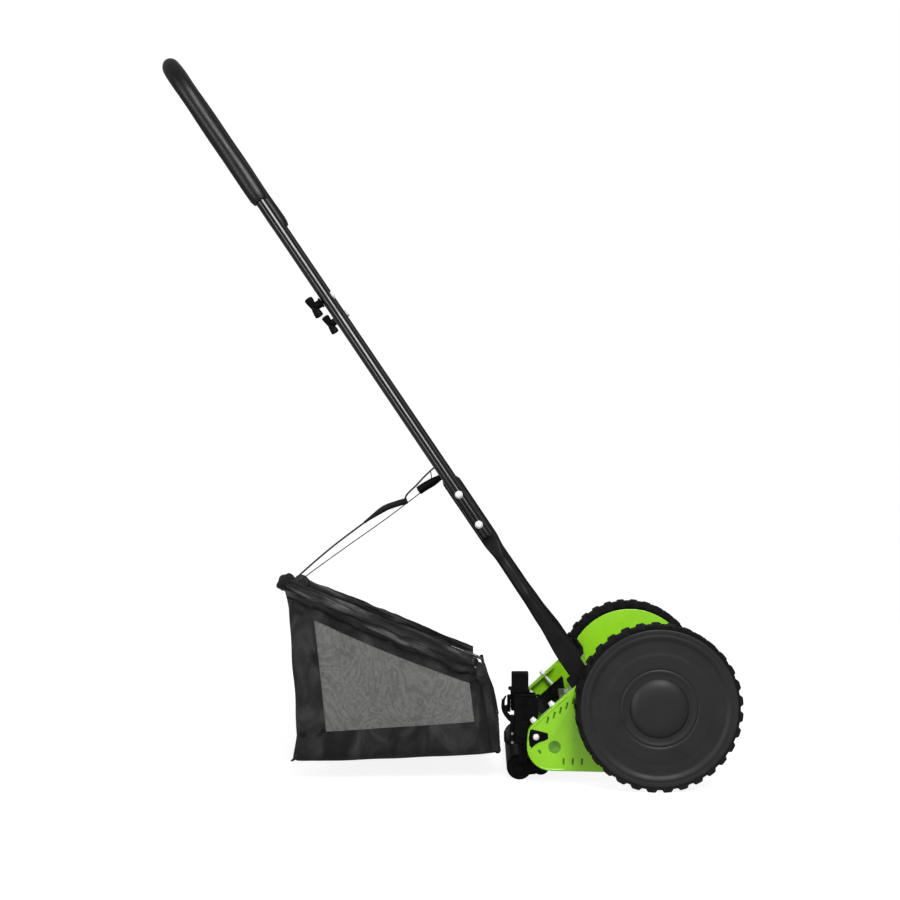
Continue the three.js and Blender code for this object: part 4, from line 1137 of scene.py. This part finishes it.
def u_path(start):
    """The handle's upper bend, from a height on the right up and over to the left."""
    ends = [(-1, start), (-1, HANDLE_LENGTH), (1, HANDLE_LENGTH), (1, start)]
    corners = [on_handle(0, sign * HANDLE_HALF_WIDTH, along) for sign, along in ends]
    return bent(corners, HANDLE_BEND, 20)


def grip_part():
    """The foam sleeve, with rounded mouths and a slight swell here and there."""
    path = finely(u_path(GRIP_START), 6)

    def radius(share, angle):
        edge = min(share, 1 - share) * (len(path) - 1)
        mouth = 1 - 0.12 * (1 - smooth_step(edge, 0, 1.2))
        swell = 0.25 * math.sin(share * 40) + 0.2 * math.sin(angle * 3 + share * 25)
        return (GRIP_RADIUS - 0.2) * mouth + swell * smooth_step(edge, 0, 3)

    return swept(path, radius, 36)


add_pair("leg_*", lower_leg_part(), LEG_BLACK, 40, "handle", "handle_lower_*")
middle = merge(middle_tube_part(), mirror(middle_tube_part()), brace_part())
add("middle_tubes", middle, BLACK, 40, "handle", "handle_middle")
upper = swept(finely(u_path(MIDDLE_TUBE["end"] + 0.3), 25), TUBE_RADIUS, 36, edge=0.6)
add("upper_tube", upper, BLACK, 40, "handle", "handle_upper")
add("grip_sleeve", grip_part(), FOAM, 60, "handle", "foam_grip")


def joint_bolt_part(along):
    """A round-headed bolt across the leg joint, with its nut on the inner side."""
    outer = -(leg_y(along) + TUBE_RADIUS + 0.3)
    inner = -(leg_y(along) - LEG_OFFSET - 2.8)
    point = on_handle(0, 0, along)
    head = [(4.6, 0), (4.6, 1.6), (3.6, 3), (1.8, 3.6), (0.3, 3.8)]
    dome = [(3, inner), (3, outer)] + [(radius, outer - height) for radius, height in head]
    washer = cross_bar(point.x, point.z, outer + 0.5, outer - 0.7, 5.4, 32, 0.2)
    nut = cross_bar(point.x, point.z, inner, inner + 4.4, 5.5, 6, 0.4)
    return merge(turned(dome, point.x, point.z, 36), washer, nut)


def knob_part():
    """A wing knob: a round boss with a ribbed cross grip, on its stud."""
    base = -TUBE_RADIUS - 0.3
    half_length = 15

    def spot(front, across=0, up=0):
        return on_handle(front, -HANDLE_HALF_WIDTH + across, UPPER_JOINT + up)

    def wing_spot(share, angle):
        waist = abs(math.cos(math.pi * share))
        end = 0.75 if share in (0, 1) else 1
        width = (3.4 + 2.6 * waist**1.5) * end
        depth = (4.2 + 2.0 * waist) * end
        up = half_length * (2 * share - 1)
        return spot(base - 13.5 + depth * math.sin(angle), width * math.cos(angle), up)

    stud = bar(spot(11), spot(base - 4), 3, 24)
    collar = bar(spot(base), spot(base - 3), 7.2, 40, 0.7)
    boss = bar(spot(base - 2.5), spot(base - 12), 5.8, 36, 0.8)
    return merge(stud, collar, boss, skin(24, 20, wing_spot))


def knob_nut_part():
    """The cap nut in front of the tube, on the knob's stud."""
    front = TUBE_RADIUS - 0.2
    ends = [on_handle(front + height, -HANDLE_HALF_WIDTH, UPPER_JOINT) for height in (0, 3.6)]
    return bar(*ends, 6, 32, 1.4)


for spot_name, along in BOLT_HEIGHTS.items():
    bolt = joint_bolt_part(along)
    add_pair(f"bolt_{spot_name}_*", bolt, ZINC, 34, "handle", f"joint_bolt_{spot_name}_*")
add_pair("knob_*", knob_part(), PLASTIC, 40, "knob_*", "wing_knob_*")
add_pair("knob_nut_*", knob_nut_part(), ZINC, 34, "knob_*", "wing_knob_*")


# Catcher frame ------------------------------------------------------------------------------
def hang(part):
    """The bag and its frame hang askew: the left rim lies lower and further back than the right."""
    vertices = []
    for x, y, z in part[0]:
        leftwards = clamped((y + WIRE_Y) / (2 * WIRE_Y))
        weight = leftwards * smooth_step(z, 70, 148)
        rearwards = clamped((RAIL_FRONT[0] - x) / (RAIL_FRONT[0] - RAIL_REAR[0]))
        back = RIM_BACK["front"] + (RIM_BACK["rear"] - RIM_BACK["front"]) * rearwards
        vertices.append((x - weight * back, y, z - weight * RIM_DROP))
    return vertices, part[1]


def crossing_wire(start, corner, bend):
    """A wire from a place on the right, round two corners, to the same place on the left."""
    ends = [(-1, start), (-1, corner), (1, corner), (1, start)]
    corners = [(x, sign * WIRE_Y, z) for sign, (x, z) in ends]
    return swept(finely(bent(corners, bend, 10), 20), WIRE_RADIUS, 20, (1, 0, 0))


def frame_x(z):
    """The place in X of the front frame's leaning uprights at a height."""
    share = (z - FRAME_BOTTOM[1]) / (FRAME_TOP[1] - FRAME_BOTTOM[1])
    return FRAME_BOTTOM[0] + share * (FRAME_TOP[0] - FRAME_BOTTOM[0])


def wire_loop():
    """The front frame's upper end, curled back down to the side rail."""
    x, z = FRAME_TOP
    turns = [(0, -3), (-0.3, 6), (-3.5, 12), (-9, 13.5), (-14, 9), (-16, 0), (-16, -8)]
    path = smooth_path([(x + along, -WIRE_Y, z + up) for along, up in turns], 6)
    return swept(path, WIRE_RADIUS * 0.7, 16)


frame_part = merge(
    crossing_wire(FRAME_TOP, FRAME_BOTTOM, 10),
    crossing_wire(RAIL_FRONT, RAIL_REAR, 8),
    crossing_wire((frame_x(HOOK_LINE[1]), HOOK_LINE[1]), HOOK_LINE, 6),
    wire_loop(),
)
add("catcher_wires", hang(frame_part), WIRE, 60, "catcher", "catcher_frame")


# Grass bag ----------------------------------------------------------------------------------
# Each side panel is laid out on four rows and four columns of places that bound its trims
# and its mesh window. Rows run from the rim down, and columns from the front to the rear.
PANEL = [
    [(-236, 150), (-262, 160), (-466, 243.5), (-501, 263)],
    [(-232, 136), (-249.6, 139), (-463.4, 225), (-500.5, 236)],
    [(-219, 80), (-242.8, 83.4), (-447.2, 70), (-490, 62)],
    [(-214, 41), (-240, 39.5), (-447, 30.5), (-491.5, 29)],
]
PANEL_COLUMNS = [4, 34, 8]  # steps in the front trim, the window and the rear trim
PANEL_ROWS = [4, 24, 7]  # steps in the rim band, the window and the bottom trim
BAG_HALF_WIDTH = 148.2
HEM_STEP = 0.9  # how far a trim stands out from the mesh
REAR_STEPS = 44
REAR_TRIM = 30
CORNER_RADIUS = 9
WINDOW = (1, 1)  # the row and the column of the mesh window


def zone_steps(counts):
    """(zone, share) pairs along one direction, with both ends of each zone."""
    return [(zone, step / count) for zone, count in enumerate(counts) for step in range(count + 1)]


def panel_point(row, down, column, along):
    """A place on a side panel, in X and Z."""
    corner = [Vector(PANEL[row + r][column + c]) for r in (0, 1) for c in (0, 1)]
    top = corner[0].lerp(corner[1], along)
    foot = corner[2].lerp(corner[3], along)
    point = top.lerp(foot, down)
    depth = (row + down) / 3
    reach = (column + along) / 3
    point.x += 7 * math.sin(math.pi * depth) * smooth_step(reach, 0.4, 1)
    sag = math.sin(math.pi * min(max((reach - 0.25) / 0.5, 0), 1))
    point.y -= 6.5 * sag * smooth_step(depth, 0, 0.33) * (1 - smooth_step(depth, 0.33, 0.8))
    point.y -= 2.0 * math.sin(math.pi * reach) * smooth_step(depth, 0.66, 1)
    return point


def fold_depth(x, z):
    """Soft folds of the side panel, deepest in the rear trim and near the rim."""
    rear = smooth_step(-x, 425, 478)
    near_rim = smooth_step(z, 120, 230)
    upright = 3.4 * rear * math.sin(x / 4.6 + 1.8 * ripple((x, 0, z), 70, 1))
    slanting = 1.3 * ripple((x * 0.35, z * 1.2, 0), 22, 1) * (0.4 + 0.6 * near_rim)
    slack = 3.0 * ripple((x, z, 0), 90, 4)
    return upright + slanting + slack


def corner_turn(share, start):
    """How far a wall draws in as it turns round the bag's corner, from a share onwards."""
    turn = clamped((share - start) / (1 - start))
    return CORNER_RADIUS * (1 - math.sqrt(1 - turn * turn))


def side_wall(row, down):
    """One row of places on the right wall from front to rear, and which are in the window."""
    line, in_window = [], []
    for column, along in zone_steps(PANEL_COLUMNS):
        point = panel_point(row, down, column, along)
        to_rear = along if column == 2 else 0
        to_floor = down if row == 2 else 0
        turn = corner_turn(to_rear, 0.6) + corner_turn(to_floor, 0.55)
        fold = fold_depth(point.x, point.y) * (1 - to_rear) * (1 - to_floor * 0.8)
        in_window.append((row, column) == WINDOW)
        trim = 0 if in_window[-1] else HEM_STEP
        line.append(Vector((point.x, turn - BAG_HALF_WIDTH + 2.4 - fold - trim, point.y)))
    return line, in_window


def rear_wall(edge, row, down):
    """One row of places across the rear wall from right to left, and which are in the window."""
    line, in_window = [], []
    for step in range(1, REAR_STEPS):
        share = step / REAR_STEPS
        bulge = math.sin(math.pi * share)
        y = edge.y * (1 - 2 * share)
        in_window.append(abs(y) <= BAG_HALF_WIDTH - REAR_TRIM and row == 1)
        trim = 0 if in_window[-1] else HEM_STEP
        belly = 7 * bulge * math.sin(math.pi * (row + down) / 3)
        x = edge.x - belly - 1.8 * ripple((0, y, edge.z), 45, 5) - trim
        line.append(Vector((x, y, edge.z - 1.5 * bulge * (row == 2))))
    return line, in_window


def bag_walls():
    """Rows of places round the right side, the rear and the left side, from the rim down."""
    walls, windows = [], []
    for row, down in zone_steps(PANEL_ROWS):
        right, in_side = side_wall(row, down)
        rear, in_rear = rear_wall(right[-1], row, down)
        left = [Vector((point.x, -point.y, point.z)) for point in reversed(right)]
        walls.append(right + rear + left)
        windows.append(in_side + in_rear + in_side[::-1])
    return walls, windows, len(right)


def bag_part():
    """One cloth shell: the walls, and a floor that spans them. Also which wall faces are mesh."""
    walls, windows, side_count = bag_walls()
    width = len(walls[0])
    vertices = [point for line in walls for point in line]
    faces, mesh_faces = [], []
    for row in range(len(walls) - 1):
        for column in range(width - 1):
            here = row * width + column
            faces.append((here, here + 1, here + width + 1, here + width))
            mesh_faces.append(windows[row][column] and windows[row + 1][column + 1])
    base = (len(walls) - 1) * width
    floor = []
    for index in range(side_count - 1):
        right, left = walls[-1][index], walls[-1][width - 1 - index]
        floor.append([base + index])
        for step in range(1, REAR_STEPS):
            share = step / REAR_STEPS
            point = right.lerp(left, share)
            sag = 4 * math.sin(math.pi * share) * math.sin(math.pi * index / side_count)
            point.z += 1.2 * ripple((point.x, point.y, 0), 50, 9) - 1.5 - min(sag, 3)
            floor[-1].append(len(vertices))
            vertices.append(point)
        floor[-1].append(base + width - 1 - index)
    floor.append([base + side_count - 1 + step for step in range(REAR_STEPS + 1)])
    for here, after in zip(floor, floor[1:]):
        for step in range(REAR_STEPS):
            faces.append((here[step], here[step + 1], after[step + 1], after[step]))
    return (vertices, faces), mesh_faces


def make_bag():
    """The cloth, given a thickness, with the mesh material on its windows."""
    part, mesh_faces = bag_part()
    bag = make("bag_cloth", hang(part), FABRIC, 60)
    bag.data.materials.append(MESH)
    for face, is_mesh in zip(bag.data.polygons, mesh_faces):
        face.material_index = 1 if is_mesh else 0
    thickness = bag.modifiers.new("cloth", "SOLIDIFY")
    thickness.thickness = 0.7 * MM
    thickness.offset = 0
    return dress(bag, "catcher", "catcher_bag")


def rail_point(share):
    """A place on the right side rail, from the front of the bag's rim to its rear."""
    x, z = Vector(RAIL_FRONT).lerp(Vector(RAIL_REAR), share)
    return Vector((x, -WIRE_Y, z))


def rim_band_part():
    """The cloth sleeve over the side rail, loose and layered."""
    steps, sides = 70, 32

    def spot(along, angle):
        share = 0.05 + 0.94 * along
        step, turn = along * steps, angle / math.tau * sides
        centre = rail_point(share)
        sag = 4.5 * math.sin(math.pi * share) + 10 * math.exp(-(((share - 0.14) / 0.05) ** 2))
        fullness = 0.75 + 0.25 * smooth_step(share, 0.1, 0.5)
        droop = (1 - math.sin(angle)) / 2
        layer = 1.7 * math.sin(6 * angle + 2.4 * ripple((step, 0, 0), 9, 4))
        crease = 1.4 * ripple((step * 4, turn * 6, 0), 16, 6)
        wide = (4.6 + layer + crease) * fullness * (0.75 + 0.4 * droop)
        tall = (10.4 + layer + crease) * fullness
        z = centre.z + 5.5 + tall * math.sin(angle) - (5 + sag) * droop
        return centre.x, centre.y - wide * math.cos(angle), z

    return skin(steps, sides, spot)


def rear_roll_part():
    """The gathered sleeve across the rear rail, bunched up at the right end and knotted at the left."""
    half_width = WIRE_Y + 3

    def spot(share, angle):
        y = half_width * (2 * share - 1)
        mouth = smooth_step(half_width - abs(y), -9, 9)
        bunched = 1 - smooth_step(share, 0.05, 0.45)
        knotted = smooth_step(share, 0.7, 0.97)
        size = 6.5 + 5.5 * bunched + 4.5 * knotted
        around = (y * 0.6, 14 * math.cos(angle), 14 * math.sin(angle))
        fold = (1.2 + 2.2 * bunched) * ripple(around, 9, 11)
        gather = 0.7 * math.sin(y / 2.6 + 2 * math.sin(angle))
        reach = (size + fold + gather) * mouth
        x = RAIL_REAR[0] + 1.5 * bunched + reach * math.cos(angle)
        z = RAIL_REAR[1] + 2 + 7.5 * bunched + 8 * knotted + reach * math.sin(angle)
        return x, y, z

    return skin(110, 36, spot)


def front_sleeve_part():
    """The cloth edge wrapped round the upright of the front frame."""
    sides = 24

    def spot(share, angle):
        z = FRAME_BOTTOM[1] + 1 + (FRAME_TOP[1] - 15 - FRAME_BOTTOM[1]) * share
        crease = 0.5 * ripple((z, angle / math.tau * sides * 5, 0), 14, 13)
        x = frame_x(z) - 2.5 + (6.2 + crease) * math.cos(angle)
        return x, -WIRE_Y + (3.8 + crease) * math.sin(angle), z

    return skin(44, sides, spot)


def front_knot_part():
    """The bunched cloth where the rim band meets the front sleeve."""

    def spot(share, angle):
        z = 128 + 36 * share
        x = frame_x(z) - 5 + 1.5 * ripple((z, 0, 0), 8, 21)
        size = 7.5 * math.sin(math.pi * clamped(share, 0.03, 0.97)) ** 0.5
        around = (z * 1.2, 9 * math.cos(angle), 9 * math.sin(angle))
        reach = size * (1.0 + 0.28 * ripple(around, 6, 22))
        return x + reach * math.cos(angle), -WIRE_Y + 0.72 * reach * math.sin(angle), z

    return skin(24, 28, spot)


def front_foot_part():
    """The sleeve round the bottom wire of the front frame."""
    half_width = WIRE_Y - 6
    ends = [(FRAME_BOTTOM[0] - 1, sign * half_width, FRAME_BOTTOM[1]) for sign in (-1, 1)]
    path = finely(ends, 2 * half_width / 60)

    def radius(share, angle):
        return 4 + 0.4 * ripple((share * 300, angle * 3, 0), 12, 15)

    return swept(path, radius, 24, (1, 0, 0))


def ear_part():
    """The pointed cloth corner at the foot of the rear edge."""
    path = smooth_path([(-483, -141, 38), (-488, -143, 32), (-492.5, -144.5, 29)], 6)
    return swept(path, lambda share, _: 4.5 * (1 - share) ** 0.6 + 0.5, 16, (0, 1, 0), 0.6)


make_bag()
for side in SIDES:
    cloths = [
        (f"rim_band_{side}", rim_band_part(), SLEEVE),
        (f"front_sleeve_{side}", front_sleeve_part(), FABRIC),
        (f"bag_corner_{side}", ear_part(), FABRIC),
    ]
    for name, part, material in cloths:
        add(name, hang(on_side(part, side)), material, 60, "catcher", "catcher_bag")
add("rim_knot", front_knot_part(), FABRIC, 60, "catcher", "catcher_bag")
add("rear_roll", hang(rear_roll_part()), FABRIC, 60, "catcher", "catcher_bag")
add("front_foot", front_foot_part(), FABRIC, 60, "catcher", "catcher_bag")


# Cords --------------------------------------------------------------------------------------
BRACE = PIVOT + HANDLE_UP * BRACE_HEIGHT
RIGHT_CORD = [(-504, -46.5, 262), (-496, -44.5, 273.5), (-450, -34, 314), (-402, -21, 351)]
STRAP = [(-404, -21, 349.5), (-390, -18, 360), (-374, -15, 370.5), (-358, -12, 376.5), (-343, -9, 381)]
STRAP_LOOP = [
    (-346, -9, 381), (-343, -8, 390), (-329, -6, 404), (-318, -4, 416), (-304, -2, 429), (-294, -1, 434.5),
]
LEFT_CORD = [(-511, 46.5, 253), (-502, 45, 264), (-437, 32, 311), (-377, 18, 353), (-318, 4, 397)]
LOOSE_THREAD = [(-309, -2, 424), (-307.5, -1, 416), (-308.5, 1, 407)]
HOOK_SHANK = [(-326, 5, 396), (-316, 3, 402.5), (-303, 1, 410), (-292, 0, 417), (-287.5, 0, 420.5)]


def cord_parts():
    """Two thin cords from the rear roll. The right one ends in a strap and the left in the hook."""
    return merge(
        swept(smooth_path(RIGHT_CORD, 10), 1.3, 12),
        swept(smooth_path(STRAP_LOOP, 8), 1.3, 12),
        swept(smooth_path(LEFT_CORD, 10), 0.75, 12),
        swept(smooth_path(LOOSE_THREAD, 5), 0.8, 10),
    )


def strap_part():
    """A flat woven strap piece, folded over the cord's end."""

    def half_width(share, _):
        return 7 * (0.4 + 0.6 * smooth_step(share, 0, 0.5))

    return swept(smooth_path(STRAP, 8), half_width, 20, (0, 1, 0), 0.65)


def brace_hook_part():
    """A plastic hook: a thick eye at the cord's end, a tapered shank and a curl over the brace."""

    def thickness(share, _):
        return 5.6 * (1 - smooth_step(share, 0.35, 1)) + 2.4

    angles = [math.radians(-75 + 235 * step / 24) for step in range(25)]
    curl = upright([polar(7.4, angle, BRACE.x, BRACE.z) for angle in angles], 0)
    body = swept(smooth_path(HOOK_SHANK, 8), thickness, 20, (0, 1, 0), 0.8)
    return merge(body, swept(curl, lambda share, _: 2.2 - 0.7 * share, 16))


add("cords", cord_parts(), CORD, 60, "cord", "catcher_cord")
add("cord_strap", strap_part(), FABRIC, 60, "cord", "catcher_cord")
add("brace_hook", brace_hook_part(), PLASTIC, 60, "cord", "cord_hook")


# Studio -------------------------------------------------------------------------------------
CAMERA = {"place": (-227.7, -1951, 399.6), "lens": 53.3, "shift_x": -0.04, "shift_y": 0.0422}
# Metres. A glow is a strength for the light on the mower and another for what the camera sees.
FLOOR = {"front": -6, "back": 3.2, "bend": 1.5, "height": 7, "half_width": 9, "glow": (0.15, 0.88)}
SKY_GLOW = (0.25, 1.0)


def only_seen(tree, unseen, seen):
    """A value that is one number for the camera and another for light that falls on the mower."""
    rays = tree.nodes.new("ShaderNodeLightPath")
    choice = tree.nodes.new("ShaderNodeMapRange")
    choice.inputs["To Min"].default_value = unseen
    choice.inputs["To Max"].default_value = seen
    tree.links.new(rays.outputs["Is Camera Ray"], choice.inputs["Value"])
    return choice.outputs["Result"]


def white_floor():
    """A white floor that curves up into a backdrop, so that there is no horizon."""
    material = bpy.data.materials.new("white_floor")
    material.use_nodes = True
    tree = material.node_tree
    shader = tree.nodes["Principled BSDF"]
    shader.inputs["Base Color"].default_value = (0.3, 0.3, 0.3, 1)
    shader.inputs["Roughness"].default_value = 0.9
    shader.inputs["Emission Color"].default_value = (1, 1, 1, 1)
    tree.links.new(only_seen(tree, *FLOOR["glow"]), shader.inputs["Emission Strength"])
    front, back, radius = FLOOR["front"], FLOOR["back"], FLOOR["bend"]
    profile = [(front, 0), (back, 0)]
    for step in range(1, 17):
        angle = math.pi / 2 * step / 16
        profile.append((back + radius * math.sin(angle), radius * (1 - math.cos(angle))))
    profile.append((back + radius, FLOOR["height"]))
    vertices = [(x, y, z) for y, z in profile for x in (-FLOOR["half_width"], FLOOR["half_width"])]
    rows = range(0, len(vertices) - 2, 2)
    data = bpy.data.meshes.new("white_floor")
    data.from_pydata(vertices, [], [(row, row + 1, row + 3, row + 2) for row in rows])
    data.materials.append(material)
    for face in data.polygons:
        face.use_smooth = True
    show("white_floor", data)


def soft_light(name, location, target, size, power, up=(0, 0, 1)):
    """A rectangular light. Its longer side runs along the up direction."""
    data = bpy.data.lights.new(name, "AREA")
    data.shape = "RECTANGLE"
    data.size, data.size_y = size
    data.energy = power
    light = show(name, data)
    light.location = location
    backward = (Vector(location) - Vector(target)).normalized()
    right = Vector(up).cross(backward).normalized()
    light.rotation_euler = Matrix((right, backward.cross(right), backward)).transposed().to_euler()


def studio():
    """A bright white world, the floor and the lights."""
    scene = bpy.context.scene
    world = bpy.data.worlds.new("studio")
    world.use_nodes = True
    background = world.node_tree.nodes["Background"]
    background.inputs["Color"].default_value = (1, 1, 1, 1)
    world.node_tree.links.new(only_seen(world.node_tree, *SKY_GLOW), background.inputs["Strength"])
    scene.world = world
    scene.view_settings.view_transform = "Standard"
    white_floor()
    soft_light("key", (0.75, -2.1, 2.3), (0.1, 0, 0.2), (1.3, 1.3), 85)
    soft_light("fill", (-2.2, -1.6, 1.2), (0, 0, 0.4), (1.2, 1.6), 14)
    soft_light("streak", (-1.75, -2.2, 0.5), (-0.1, -0.11, 0.57), (0.35, 2.4), 26, HANDLE_UP)


def camera():
    data = bpy.data.cameras.new("camera")
    data.lens = CAMERA["lens"]
    data.sensor_width = 36
    data.shift_x = CAMERA["shift_x"]
    data.shift_y = CAMERA["shift_y"]
    eye = show("camera", data)
    eye.location = place(CAMERA["place"])
    eye.rotation_euler = (math.pi / 2, 0, 0)
    bpy.context.scene.camera = eye


studio()
camera()
